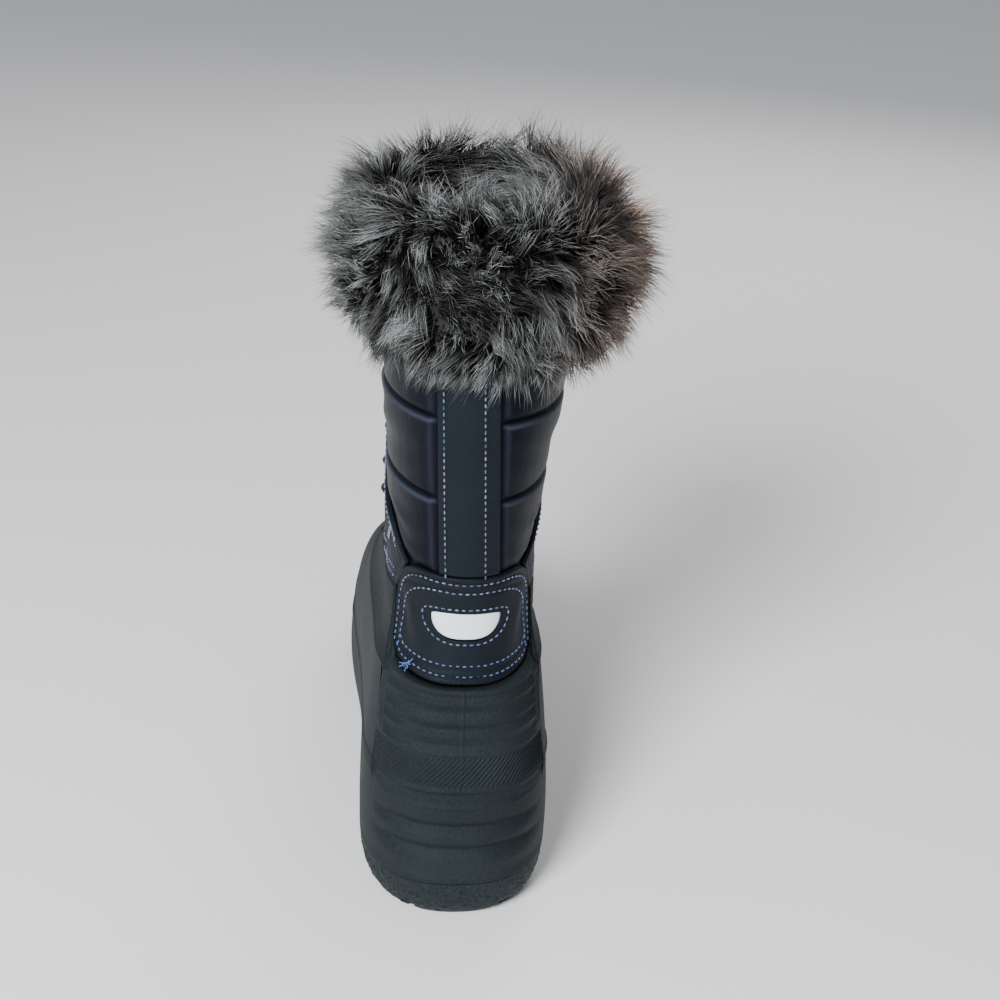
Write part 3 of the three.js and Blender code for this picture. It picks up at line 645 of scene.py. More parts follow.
cut_away(outsole, bar_points, bar_faces)
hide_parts("outsole")

# ---------------------------------------------------------------------------------------------
# Shell. Foam rubber moulded in one piece round the foot. Its heel carries a hatched band, ribs
# and a mould line, its sides a long ledge, its vamp soft cross ribs, and above the step a thin
# stippled flange rises to the rim, where the textile upper is sewn in.
RIM_LINE = [
    (-8, 96.5), (8, 97), (18, 98), (28, 100), (34, 104), (36, 125.5), (60, 124), (90, 120), (118, 115),
    (136, 113), (150, 117), (300, 130),
]
HEEL_REACH = 38  # of the ribbed heel panel, along the shell to either side of its middle
PANEL_EDGE = HEEL_REACH + 4  # of the hatched band and the lines below it
# Raised (+) and sunk (-) lines across the heel: height, how far out, half width.
HEEL_LINES = [
    (27, 0.7, 3.0), (32.5, -1.3, 1.6), (37.5, 0.9, 2.8), (42.2, -1.4, 1.6), (50.5, 0.6, 0.6),
    (52.5, -0.4, 1.4), (72, 0.5, 0.6), (75.4, -0.8, 1.5), (79, 0.8, 0.6), (81.6, -0.8, 1.2),
    (84.5, 0.85, 0.6), (88, -0.9, 1.7), (91.5, 0.85, 0.6), (94, -0.8, 1.1),
]
HEEL_LINE_DRIFT = 0.02  # by which they rise to the sides
HATCH = {"foot": 59, "top": 71, "pitch": 1.5, "height": 0.42, "angle": math.radians(48)}
HATCH_FADE = 1.5  # over which it ends at the panel's sides
LEDGE_LINE = [(-8, 57.5), (30, 57.8), (46, 57), (90, 50), (140, 44), (200, 39), (284, 41)]
VAMP = {"ribs": (158, 170, 182), "reach": 31, "bow": 0.009, "foot": 62, "back": 140}
TOE_LINE, TOE_FROM = [(170, 33), (210, 30), (284, 34)], 185
MOULD_LINE = {"height": 0.28, "width": 0.5}
FLANGE = {"foot": 99, "lip": 95.5, "ripple": 0.12}
RIM_ROUND = {"down": 1.3, "in": 0.8}


def bead(distance, width):
    """Height of a soft bead at a distance from its middle."""
    return np.exp(-((distance / width) ** 2))


def shell_relief(arc, x, s, z, rim):
    """How far the moulded detail stands out, from the way round the heel, x, s, height and the rim's."""
    aside = np.abs(arc)
    on_heel = ease((HEEL_REACH - aside) / 3)
    low_fade = ease((PANEL_EDGE - aside) / 22)
    relief = np.zeros_like(z)
    for height, out, width in HEEL_LINES:
        fade = on_heel if height > HATCH["top"] else low_fade
        relief += out * fade * bead(z - height - HEEL_LINE_DRIFT * aside, width)
    across, up = -arc * math.sin(HATCH["angle"]), z * math.cos(HATCH["angle"])
    ridges = np.abs(((across - up) / HATCH["pitch"]) % 1 * 2 - 1) * 2 - 1
    in_band = ease((z - HATCH["foot"]) / 0.8) * ease((HATCH["top"] - z) / 0.8)
    relief += HATCH["height"] * ridges * in_band * ease((PANEL_EDGE - aside) / HATCH_FADE)
    mould_line = MOULD_LINE["height"] * bead(arc, MOULD_LINE["width"])
    relief += mould_line * ease((z - HATCH["foot"]) / 2) * ease((rim - z) / 2)
    side_ridge = bead(aside - HEEL_REACH - 2, 1.3)
    relief += 0.7 * side_ridge * ease((z - HATCH["top"]) / 6) * ease((FLANGE["lip"] + 0.5 - z) / 3)
    ledge = z - line_at(LEDGE_LINE, s)
    relief += 0.8 * bead(ledge, 0.7) - 0.5 * bead(ledge + 2.2, 1.4)
    on_toe = ease((s - TOE_FROM) / 20)
    toe_groove = z - line_at(TOE_LINE, s)
    relief += on_toe * (0.6 * bead(toe_groove, 1.6) - 0.5 * bead(toe_groove - 3.2, 1.4))
    on_vamp = ease((VAMP["reach"] - np.abs(x)) / 8) * ease((s - VAMP["back"]) / 6)
    on_vamp *= ease((z - VAMP["foot"]) / 8)
    for station in VAMP["ribs"]:
        bowed = s - station + VAMP["bow"] * x**2
        relief += on_vamp * (0.9 * bead(bowed, 1.3) - 0.35 * bead(bowed + 3, 1.8))
    relief += 0.8 * bead(z - FLANGE["lip"], 1.0) * (1 - on_heel)
    near_rim = np.clip(1 - (rim - z) / RIM_ROUND["down"], 0, 1)
    relief -= RIM_ROUND["in"] * (1 - np.sqrt(1 - near_rim**2))
    return relief


shell_rubber = rubber_finish(
    "moulded shell rubber", (0.0066, 0.0092, 0.0106), (0.0160, 0.0214, 0.0238), 0.6
)
# Columns lie close together over the heel, whose detail is fine, and wider apart round the foot.
HEEL_STEP, REST_COLUMNS = 0.36, 110
GIRTH_HEIGHT, HALF_WAY = 60, 2000
fine_turns = np.linspace(0, 1, 2 * HALF_WAY + 1)
way_round = way_along(outline(SHELL, GIRTH_HEIGHT, fine_turns))
heel_arcs = np.arange(0, HEEL_REACH + 6, HEEL_STEP)
rest_arcs = np.linspace(HEEL_REACH + 6.8, way_round[HALF_WAY], REST_COLUMNS)
to_toe = slice(HALF_WAY + 1)
half_turns = np.interp(np.concatenate([heel_arcs, rest_arcs]), way_round[to_toe], fine_turns[to_toe])
shell_turns = np.concatenate([half_turns, (1 - half_turns[1:-1])[::-1]])
shell_arcs = np.interp(shell_turns, fine_turns, way_round)
shell_arcs = np.where(shell_turns > 0.5, shell_arcs - way_round[-1], shell_arcs)
shell_foot_line = [(s, z + GAP) for s, z in OUTSOLE_TOP_LINE]
shell_foot = height_where(SHELL, shell_turns, shell_foot_line)
shell_rim = height_where(SHELL, shell_turns, RIM_LINE)
# Levels crowd together through the hatched band, whose ridges are the finest.
SHELL_LEVELS = 146
even = np.linspace(0, 1, 400)
crowd = np.cumsum(1 + 1.6 * bead(even - 0.6, 0.09))
shares = np.interp(np.linspace(crowd[0], crowd[-1], SHELL_LEVELS), crowd, even)[:, None]
shell_levels = shell_foot + (shell_rim - shell_foot) * shares
shell_x, shell_y, _ = np.moveaxis(outline(SHELL, shell_levels, shell_turns), -1, 0)
relief = shell_relief(shell_arcs, shell_x, HEEL_CENTRE - shell_y, shell_levels, shell_rim)
relief *= ease((shell_levels - shell_foot) / 1.5)
on_flange = ease((shell_levels - FLANGE["foot"]) / 3)
relief += on_flange * FLANGE["ripple"] * ripple(surface(SHELL, shell_levels, shell_turns), 2.6, 11)
outer = surface(SHELL, shell_levels, shell_turns, relief)
inner_foot_line = [(s, z - INSOLE_THICKNESS - GAP) for s, z in FOOTBED_LINE]
inner_foot = height_where(UPPER, shell_turns, inner_foot_line)
inner_levels = inner_foot + (shell_rim - inner_foot) * np.linspace(1, 0, 14)[:, None]
inner = surface(UPPER, inner_levels, shell_turns, GAP)
CLOSING = 3
shell_points = [
    *closing_rings(outer[0], shell_foot_line, CLOSING)[::-1],
    *outer, *inner, *closing_rings(inner[-1], inner_foot_line, CLOSING),
]
shell_rough = np.zeros((len(shell_points), len(shell_turns)))
near_sole = ease((shell_foot + 5 - shell_levels) / 4)
off_heel = 1 - ease((HEEL_REACH - np.abs(shell_arcs)) / 5)
shell_rough[CLOSING:CLOSING + len(outer)] = 0.1 + 0.8 * near_sole + 0.55 * on_flange * off_heel
shell_faces = grid_faces(len(shell_points), len(shell_turns), wrap_columns=True)
shell = closed_mesh(
    "moulded_shell", shell_points, shell_faces, shell_rubber, "shell_rubber", rough=shell_rough
)
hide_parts("shell")

# ---------------------------------------------------------------------------------------------
# Upper. One wall of nylon, foam and fleece from the footbed to the collar. Seams sewn across the
# leg's two sides gather the foam into pads, and wear has left soft creases at the ankle.
THROAT = {"half": 15, "foot": 118, "corner": 8, "above": COLLAR_TOP + 20}
OVERLAY = 1.6
BACKSTAY = {"half": 10.2, "foot": 140.3, "top": 212, "foot_x": -0.6, "top_x": 2.4}
FACING_EDGE = [
    (22, 138), (28, 138.5), (34, 141.5), (44, 148.5), (60, 156), (72, 167), (79, 182), (82, 211),
]
QUILT_SEAMS = (138, 169, 200, 231, 262)
PAD_HEIGHT = 1.9
FAR = 40  # from the backstay, where the leg's front is taken to be
ROLL_FROM = 0.935  # share of a pad's height at which it starts to roll in to the seam above
# Levels of the mesh round a seam.
QUILT_STEPS = (-4, -3, -2.4, -1.9, -1.4, -0.9, -0.5, -0.2, 0.1, 0.6, 1.2, 2, 3)
# Creases, as (s, z, slope in degrees, half length, half width, depth) in side view.
CREASES = [
    (58, 147, 24, 16, 3.2, 0.9), (76, 139, 32, 18, 3.6, 1.1), (94, 131, 20, 16, 3.4, 1.0),
    (70, 122.5, 8, 22, 2.6, 0.5), (40, 152, 14, 9, 2.6, 0.5), (92, 158, 40, 14, 3.8, 0.8),
    (50, 182, -16, 16, 4.2, 0.6), (66, 191, -10, 12, 3.4, 0.5), (104, 176, 35, 14, 4.2, 0.7),
    (28, 118, 68, 10, 3.0, 0.4),
]
CREASE_DEPTH = 1.5
CREASES_FROM = 98  # below it the upper lies flat in the shell


def creased(s, z):
    """Soft troughs, each with a low ridge above it."""
    total = np.zeros(np.broadcast(s, z).shape)
    for s0, z0, slope, length, width, depth in CREASES:
        angle = math.radians(slope)
        along = (s - s0) * math.cos(angle) + (z - z0) * math.sin(angle)
        across = (z - z0) * math.cos(angle) - (s - s0) * math.sin(angle)
        ridge = 0.7 * bead(across - 1.6 * width, width)
        total += CREASE_DEPTH * depth * bead(along, length) * (ridge - bead(across, width))
    return total


def on_upper(z, u, offset=0.0):
    """Points on the upper, creases included, at an offset from its surface."""
    z, u = np.broadcast_arrays(np.asarray(z, float), np.asarray(u, float))
    s = HEEL_CENTRE - outline(UPPER, z, u)[..., 1]
    return surface(UPPER, z, u, offset + creased(s, z) * ease((z - CREASES_FROM) / 8))


def backstay_middle(z):
    """Sideways place of the strip's middle line, which leans a little."""
    rise = (z - BACKSTAY["foot"]) / (BACKSTAY["top"] - BACKSTAY["foot"])
    return BACKSTAY["foot_x"] + (BACKSTAY["top_x"] - BACKSTAY["foot_x"]) * rise


def distance_to_line(s, z, line):
    """Distance in side view from points to a line of (s, z) points."""
    nearest = np.full(np.broadcast(s, z).shape, 1e9)
    for (s0, z0), (s1, z1) in zip(line, line[1:]):
        run, rise = s1 - s0, z1 - z0
        t = np.clip(((s - s0) * run + (z - z0) * rise) / (run**2 + rise**2), 0, 1)
        nearest = np.minimum(nearest, np.hypot(s - s0 - t * run, z - z0 - t * rise))
    return nearest


def quilted(x, s, z):
    """How far the nylon's pads stand out between their seams, and a mask for the painted highlight on their
    rolled edges.
    """
    seams = np.array(QUILT_SEAMS)
    i = np.clip(np.searchsorted(seams, z) - 1, 0, len(seams) - 2)
    share = np.clip((z - seams[i]) / (seams[i + 1] - seams[i]), 0, 1)
    roll = np.clip((share - ROLL_FROM) / (1 - ROLL_FROM), 0, 1)
    pad = (0.6 * ease(share / 0.1) + 0.4 * np.minimum(share / ROLL_FROM, 1)) * np.sqrt(1 - roll**2)
    edge_s = np.interp(z, [p[1] for p in FACING_EDGE], [p[0] for p in FACING_EDGE])
    clear_front = np.where(s < edge_s, distance_to_line(s, z, FACING_EDGE), 0)
    clear_back = np.abs(x - backstay_middle(z)) - BACKSTAY["half"] + FAR * ease((s - 60) / 6)
    inside = ease(clear_front / 4) * ease((clear_back - 0.2) / 2.6) * ease((z - QUILT_SEAMS[0]) / 6)
    sag = 0.1 * np.sin(z * 0.55 + s * 0.16) * bead(share - 0.5, 0.4)
    # Painted highlight: a thin lighter band on each pad's top edge just under its seam, and a fainter one
    # along the pad's edge beside the backstay.
    stay_edge_highlight = 0.4 * bead(clear_back - 2.3, 0.8) * ease(share / 0.15)
    rolled = np.maximum(bead(share - 0.965, 0.024), stay_edge_highlight)
    return inside * (PAD_HEIGHT * pad + sag), inside * rolled


def blended(tree, blend, factor, first, second):
    """Two colours mixed in one of Blender's ways."""
    feeds = {"Factor": factor, "A": first, "B": second}
    mix = add_node(tree, "ShaderNodeMix", feeds, data_type="RGBA", blend_type=blend)
    return mix.outputs["Result"]


def nylon_finish():
    """Close-woven nylon with a soft sheen, its weave laid along the leg, with a painted highlight where the
    pads roll into their seams and beside the backstay.
    """
    material, tree, shader = new_finish(
        "navy nylon", Roughness=0.38, Specular_IOR_Level=0.07, Specular_Tint=(0.66, 0.76, 1.0, 1)
    )
    lay = add_node(tree, "ShaderNodeAttribute", attribute_name="lay").outputs["Vector"]
    waves = {"Vector": lay, "Scale": 560, "Distortion": 0.6, "Detail": 1}
    along, across, slanting = (
        add_node(tree, "ShaderNodeTexWave", waves, bands_direction=direction).outputs["Fac"]
        for direction in ("X", "Y", "DIAGONAL")
    )
    twill = maths(tree, "MULTIPLY_ADD", slanting, 0.5, maths(tree, "MULTIPLY", along, across))
    where = add_node(tree, "ShaderNodeTexCoord").outputs["Object"]
    stretch_numbers = {"Vector": where, "Scale": (1, 1, 0.35), "Rotation": (0.3, 0.2, 0)}
    stretched = add_node(tree, "ShaderNodeMapping", stretch_numbers).outputs["Vector"]
    rumple_numbers = {"Vector": stretched, "Scale": 70, "Detail": 3}
    rumple = add_node(tree, "ShaderNodeTexNoise", rumple_numbers).outputs["Fac"]
    tint = colour_run(tree, rumple, (0.0014, 0.0018, 0.0040), (0.0034, 0.0042, 0.0088))
    shade = blended(tree, "MULTIPLY", 0.45, tint, twill)
    # Painted highlight: a lighter blue-grey is added to the colour on the pads' rolled edges and beside the
    # backstay.
    rolled = add_node(tree, "ShaderNodeAttribute", attribute_name="rolled").outputs["Fac"]
    with_edge_highlight = blended(tree, "ADD", rolled, shade, (0.028, 0.032, 0.046, 1))
    fine = raised(tree, twill, 0.35, 0.00015)
    dress(tree, shader, with_edge_highlight, raised(tree, rumple, 0.5, 0.0012, Normal=fine))
    return material


def lay_of(points):
    """Thread directions for a grid of points: way round, then way up, in metres."""
    round_it = np.cumsum(np.linalg.norm(np.diff(points, axis=1, prepend=points[:, :1]), axis=2), axis=1)
    round_it = round_it - round_it[:, round_it.shape[1] // 2, None]
    return np.stack([round_it, points[..., 2], 0 * round_it], -1) * MM


nylon = nylon_finish()
UPPER_COLUMNS = 300
upper_turns = even_turns(UPPER_COLUMNS)
upper_foot = height_where(UPPER, upper_turns, insole_foot)
QUILT_FOOT = 112
LOW_LEVELS, HIGH_LEVELS, INSIDE_LEVELS = 16, 84, 60
low_levels = upper_foot + (QUILT_FOOT - upper_foot) * np.linspace(0, 1, LOW_LEVELS)[:-1, None]
seam_levels = [seam + step for seam in QUILT_SEAMS[1:] for step in QUILT_STEPS]
even_levels = np.linspace(QUILT_FOOT, COLLAR_TOP, HIGH_LEVELS)
high_levels = np.sort([*even_levels, *seam_levels])[:, None] + 0 * upper_foot
outside_levels = np.vstack([low_levels, high_levels])
bare = outline(UPPER, outside_levels, upper_turns)
# The second result is the mask of the pads' painted edge highlight, carried to the nylon as an attribute.
puff, rolled = quilted(bare[..., 0], HEEL_CENTRE - bare[..., 1], outside_levels)
outside = on_upper(outside_levels, upper_turns, puff)
inside_levels = upper_foot + (COLLAR_TOP - upper_foot) * np.linspace(1, 0, INSIDE_LEVELS)[:, None]
fleece = 0.15 * ripple(outline(UPPER, inside_levels, upper_turns), 7, 3)
inside = on_upper(inside_levels, upper_turns, fleece - WALL)
upper_points = np.concatenate([outside, inside])
upper_faces = grid_faces(len(upper_points), UPPER_COLUMNS, wrap_rows=True, wrap_columns=True)
upper = closed_mesh(
    "padded_upper", upper_points, upper_faces, nylon, "nylon",
    lay=lay_of(upper_points), rolled=np.concatenate([rolled, 0 * inside[..., 0]]),
)
throat = []
corner_turns = np.linspace(0, math.pi / 2, 7)
for x_sign, turns in ((-1, corner_turns), (1, corner_turns[::-1])):
    for turn in turns:
        x = x_sign * (THROAT["half"] - THROAT["corner"] * (1 - math.cos(turn)))
        throat.append((x, THROAT["foot"] + THROAT["corner"] * (1 - math.sin(turn))))
throat = [(-THROAT["half"], THROAT["above"]), *throat, (THROAT["half"], THROAT["above"])]


def prism_along(shape, s_from, s_to):
    """Points and faces of an (x, z) shape carried along the boot."""
    count = len(shape)
    points = [(x, HEEL_CENTRE - s, z) for s in (s_from, s_to) for x, z in shape]
    sides = [(i, (i + 1) % count, count + (i + 1) % count, count + i) for i in range(count)]
    return points, [tuple(range(count)), tuple(range(2 * count - 1, count - 1, -1)), *sides]


cut_away(upper, *prism_along(throat, s_from=75, s_to=200))
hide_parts("upper")

# ---------------------------------------------------------------------------------------------
# Tongue. A padded nylon flap behind the throat, sewn across into soft ribs. It is sewn in at its
# foot under the upper, and its sides lie under the facings.
TONGUE = {"half": 25, "foot": 106, "top": 250, "thickness": 5, "rib": 17}
FRONT_TURNS = np.linspace(0.3, 0.7, 801)


def turn_across(x, z):
    """Turn of the front point that lies x across from the boot's own middle at height z."""
    x, z = np.broadcast_arrays(np.asarray(x, float), np.asarray(z, float))
    lean = COLLAR_LEAN * ease((z - LEAN_FROM) / (COLLAR_TOP - LEAN_FROM))
    found = np.empty(x.shape)
    for index in np.ndindex(x.shape):
        across = outline(UPPER, z[index], FRONT_TURNS)[:, 0] + lean[index]
        found[index] = np.interp(-x[index], -across, FRONT_TURNS)
    return found


def resample(line, count, ends):
    """A line of (turn, height) points by even steps of its length, with extra points near its ends."""
    line = np.asarray(line, float)
    way = way_along(surface(UPPER, line[:, 1], line[:, 0]))
    length = way[-1]
    first = ends[-1] + 0.8
    wanted = np.concatenate([ends, np.linspace(first, length - first, count), length - ends[::-1]])
    return np.stack([np.interp(wanted, way, column) for column in line.T], -1), wanted, length


EDGE_STEPS = np.array([0, 0.3, 0.65])  # of the mesh near a panel's edge, as shares of its rounding
STITCH_DIP = 0.35


def panel(
    name, first, second, counts, material, slot,
    base=GAP, thickness=OVERLAY, edge=0.8, sunk=(), shape=None,
):
    """A sewn piece on the upper: the patch between two lines of (turn, height) points.

    counts are its columns along the lines and its rows between them. Its edges are rounded over a
    distance, stitch lines at the distances in sunk lie a little deeper, and shape may add a relief that
    changes with height.
    """
    steps = EDGE_STEPS * edge
    low, along, length = resample(first, counts[0], steps)
    high, _, _ = resample(second, counts[0], steps)
    low_points, high_points = (surface(UPPER, line[:, 1], line[:, 0]) for line in (low, high))
    gap = np.maximum(np.linalg.norm(high_points - low_points, axis=1), 2.4 * edge)
    rows = np.linspace(0, 1, counts[1])[:, None] * (gap - 2 * edge) + edge
    across = np.vstack([steps[:, None] + 0 * gap, rows, gap - steps[::-1, None]])
    share = (across / gap)[..., None]
    grid = low * (1 - share) + high * share
    to_edge = np.minimum(np.minimum(across, gap - across), np.minimum(along, length - along))
    rounding = np.sqrt(np.clip(1 - (1 - np.clip(to_edge / edge, 0, 1)) ** 2, 0, 1))
    height = thickness * (0.35 + 0.65 * rounding)
    for distance in sunk:
        height -= STITCH_DIP * bead(to_edge - distance, 0.8)
    if shape is not None:
        height += shape(grid[..., 1]) * rounding
    outer = on_upper(grid[..., 1], grid[..., 0], base + height)
    inner = on_upper(grid[..., 1], grid[..., 0], base)
    rows_made, columns_made = outer.shape[:2]
    ring = np.concatenate([outer, inner[::-1]])
    faces = list(grid_faces(2 * rows_made, columns_made, wrap_rows=True))
    for column in (0, columns_made - 1):
        for i in range(rows_made - 1):
            mirror = 2 * rows_made - 1 - i
            faces.append([k * columns_made + column for k in (i, i + 1, mirror - 1, mirror)])
    return closed_mesh(name, ring, faces, material, slot, lay=lay_of(ring))


tongue_levels = np.linspace(TONGUE["foot"], TONGUE["top"], 30)
tongue_sides = [
    np.stack([turn_across(side * TONGUE["half"], tongue_levels), tongue_levels], -1) for side in (1, -1)
]


def tongue_ribs(z):
    """Troughs where the tongue is sewn across."""
    return -1.6 * bead(z % TONGUE["rib"] - TONGUE["rib"] / 2, 1.8)


tongue = panel(
    "padded_tongue", *tongue_sides, (110, 26), nylon, "nylon",
    base=-WALL - GAP - TONGUE["thickness"], thickness=TONGUE["thickness"], edge=2.2, shape=tongue_ribs,
)
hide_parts("tongue")

# ---------------------------------------------------------------------------------------------
# Heel counter. A leather-look overlay round the back of the upper, between the shell's rim and
# the backstay, with a half-moon window. All overlays are sewn down with light blue thread.
COUNTER = {"top": 140, "front": 35, "corner": 12, "drop": 14, "rows": (2.6, 6.0)}
FOOT_ROWS = {"line": [(31, 101.5), (26, 99.4), (18, 98.3), (14, 97.6)], "rises": (3.2, 7.4), "slant": 0.4}
WINDOW = {"half": 12.7, "top": 126, "drop": 11, "shoulder": 1.8, "row": 1.5}
BACK_TURNS = np.linspace(0, 0.499, 1500)
THREAD_LEVEL = GAP + OVERLAY + 0.12  # of a stitch's middle over the upper


def turn_at(side, s, z):
    """Turn of the point at s and z on the inner (1) or outer (-1) side."""
    s, z = np.broadcast_arrays(np.asarray(s, float), np.asarray(z, float))
    found = np.empty(s.shape)
    for index in np.ndindex(s.shape):
        turns = BACK_TURNS if side > 0 else 1 - BACK_TURNS
        found[index] = np.interp(s[index], HEEL_CENTRE - outline(UPPER, z[index], turns)[:, 1], turns)
    return found


def side_line(side, points):
    """A line of (s, z) points as (turn, height) points, with the outer side's turns below zero."""
    s, z = np.array(points, float).T
    turns = turn_at(side, s, z)
    return np.stack([turns if side > 0 else turns - 1, z], -1)


def filled_in(points, step=2.0):
    """A line of points with more points along it."""
    points = np.asarray(points, float)
    way = way_along(points)
    wanted = np.linspace(0, way[-1], max(2, int(way[-1] / step)))
    return np.stack([np.interp(wanted, way, column) for column in points.T], -1)


def leather_finish():
    """Coated leather look: fine pebbled grain under slow changes of tone."""
    material, tree, shader = new_finish(
        "navy leather look", Roughness=0.6, Specular_IOR_Level=0.22, Specular_Tint=(0.7, 0.86, 1.0, 1)
    )
    cells = texture(tree, "Voronoi", "Distance", Scale=1150)
    fine = texture(tree, "Noise", "Fac", Scale=2600, Detail=3)
    clouds = texture(tree, "Noise", "Fac", Scale=45, Detail=5)
    grain = maths(tree, "MULTIPLY_ADD", fine, 0.35, cells)
    tint = colour_run(tree, clouds, (0.0018, 0.0026, 0.0044), (0.0036, 0.0052, 0.0082), (0.3, 0.75))
    dress(tree, shader, tint, raised(tree, grain, 0.35, 0.0004))
    return material


def place_along(tree, axis):
    """A point's place along one axis of the piece."""
    where = add_node(tree, "ShaderNodeTexCoord").outputs["Object"]
    return add_node(tree, "ShaderNodeSeparateXYZ", {"Vector": where}).outputs[axis]


def thread_finish():
    """Light blue thread, rubbed pale in places, and deep blue towards the bottom of the heel."""
    material, tree, shader = new_finish(
        "light blue thread", Roughness=0.5, Sheen_Weight=0.5, Sheen_Roughness=0.4, Specular_IOR_Level=0.5
    )
    change = texture(tree, "Noise", "Fac", Scale=210, Detail=3)
    rubbed = colour_run(tree, change, (0.010, 0.024, 0.095), (0.15, 0.21, 0.36), (0.35, 0.65))
    # Below a height low on the heel the colour runs to deep blue.
    deep_blue_low_down = run_over(tree, place_along(tree, "Z"), 0.128, 0.108, at_end=0.75)
    tint = blended(tree, "MIX", deep_blue_low_down, rubbed, (0.035, 0.09, 0.30, 1))
    twist = texture(tree, "Noise", "Fac", Scale=3200, Detail=2)
    dress(tree, shader, tint, raised(tree, twist, 0.5, 0.0002))
    return material


def new_tree(name, inputs):
    """An empty geometry tree with a mesh in, named inputs, and its two ends."""
    tree = bpy.data.node_groups.new(name, "GeometryNodeTree")
    tree.interface.new_socket("Geometry", in_out="INPUT", socket_type="NodeSocketGeometry")
    for label, kind in inputs.items():
        tree.interface.new_socket(label, in_out="INPUT", socket_type=f"NodeSocket{kind}")
    tree.interface.new_socket("Geometry", in_out="OUTPUT", socket_type="NodeSocketGeometry")
    return tree, tree.nodes.new("NodeGroupInput").outputs, tree.nodes.new("NodeGroupOutput").inputs


def set_on(tree, points, instance, axis, heading, **size):
    """Instances on points, each with one of its axes turned to a heading."""
    turned = add_node(tree, "FunctionNodeAlignRotationToVector", {"Vector": heading}, axis=axis)
    feeds = {"Points": points, "Instance": instance, "Rotation": turned.outputs["Rotation"], **size}
    return add_node(tree, "GeometryNodeInstanceOnPoints", feeds).outputs["Instances"]


def next_geometry(tree, kind, geometry, **feeds):
    """The geometry that comes out of a node which takes one in."""
    node = add_node(tree, f"GeometryNode{kind}", {"Geometry": geometry, **feeds})
    return node.outputs["Geometry"]


def stitch_tree():
    """Stitches of one length, spaced evenly along edges."""
    inputs = {"Pitch": "Float", "Length": "Float", "Thickness": "Float", "Thread": "Material"}
    tree, given, result = new_tree("stitches", inputs)
    line = add_node(tree, "GeometryNodeMeshToCurve", {"Mesh": given["Geometry"]}).outputs["Curve"]
    feeds = {"Curve": line, "Length": given["Pitch"]}
    spaced = add_node(tree, "GeometryNodeResampleCurve", feeds, mode="LENGTH").outputs["Curve"]
    ball = add_node(tree, "GeometryNodeMeshUVSphere", {"Segments": 6, "Rings": 4, "Radius": 0.5})
    sizes = {"X": given["Length"], "Y": given["Thickness"], "Z": given["Thickness"]}
    size = add_node(tree, "ShaderNodeCombineXYZ", sizes).outputs["Vector"]
    stitch = next_geometry(tree, "Transform", ball.outputs["Mesh"], Scale=size)
    tangent = tree.nodes.new("GeometryNodeInputTangent").outputs["Tangent"]
    stitches = next_geometry(tree, "RealizeInstances", set_on(tree, spaced, stitch, "X", tangent))
    stitches = next_geometry(tree, "SetShadeSmooth", stitches)
    sewn = next_geometry(tree, "SetMaterial", stitches, Material=given["Thread"])
    tree.links.new(sewn, result["Geometry"])
    return tree


def grow_with(name, points, edges, faces, tree, values):
    """The plain mesh that a geometry tree makes from points, edges and faces in millimetres."""
    mesh = bpy.data.meshes.new(name)
    mesh.from_pydata((np.asarray(points).reshape(-1, 3) * MM).tolist(), edges, faces)
    piece = bpy.data.objects.new(name, mesh)
    bpy.context.scene.collection.objects.link(piece)
    made_by = piece.modifiers.new("grow", "NODES")
    made_by.node_group = tree
    for item in tree.interface.items_tree:
        if item.in_out == "INPUT" and item.name in values:
            made_by[item.identifier] = values[item.name]
    bake(piece)
    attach(piece, "root")
    return piece


sewing = stitch_tree()
thread = thread_finish()


def sew(name, lines, pitch=2.5, length=1.65, thickness=0.62):
    """Stitches along lines of points on the overlays."""
    points, edges = [], []
    for line in lines:
        start = len(points)
        points += [tuple(p) for p in line]
        edges += [(k, k + 1) for k in range(start, len(points) - 1)]
    values = {"Pitch": pitch * MM, "Length": length * MM, "Thickness": thickness * MM, "Thread": thread}
    return grow_with(name, points, edges, [], sewing, values)


def counter_border(inset):
    """The counter's front and top edges in side view, from its foot up and back, drawn in by an inset."""
    front, top = COUNTER["front"] - inset, COUNTER["top"] - inset
    turn = np.linspace(0, 1, 12)[:, None]
    foot, knee, end = np.array([
        (front, top - COUNTER["drop"]), (front - 1, top - 2), (front - COUNTER["corner"], top),
    ])
    return foot * (1 - turn) ** 2 + 2 * knee * turn * (1 - turn) + end * turn**2


def whole_back(points):
    """A side-view line from the inner side to the middle of the back, and on to the outer side."""
    inner_side = side_line(1, points)
    outer_side = side_line(-1, points)
    middle_z = points[-1][1]
    return np.vstack([inner_side, [(0, middle_z)], outer_side[::-1]])


leather = leather_finish()
level_top = [(s, COUNTER["top"]) for s in (COUNTER["front"] - 19, 15.5)]
counter_top = filled_in([*counter_border(0), *level_top])
foot_front = (COUNTER["front"], line_at(RIM_LINE, COUNTER["front"] - 1) + 1)
counter_foot = filled_in([foot_front, (28, 100.1), (18, 98.05), (13.5, 97.3)])
counter = panel(
    "counter_overlay", whole_back(counter_foot), whole_back(counter_top), (170, 60), leather, "overlay",
    sunk=COUNTER["rows"],
)


def half_moon(grow):
    """The window's outline, nearly flat above and round below, grown by a margin."""
    turn = np.linspace(0, 2 * math.pi, 64, endpoint=False)
    across, up = np.cos(turn), np.sin(turn)
    shoulder = WINDOW["top"] - WINDOW["shoulder"]
    drop = WINDOW["drop"] - WINDOW["shoulder"]
    rise = np.where(up > 0, WINDOW["shoulder"] * np.abs(up) ** 0.6, drop * up)
    shape = np.stack([WINDOW["half"] * np.sign(across) * np.abs(across) ** 0.62, shoulder + rise], -1)
    along = np.roll(shape, -1, axis=0) - np.roll(shape, 1, axis=0)
    out = np.stack([along[:, 1], -along[:, 0]], -1) / np.linalg.norm(along, axis=1)[:, None]
    return shape + grow * out


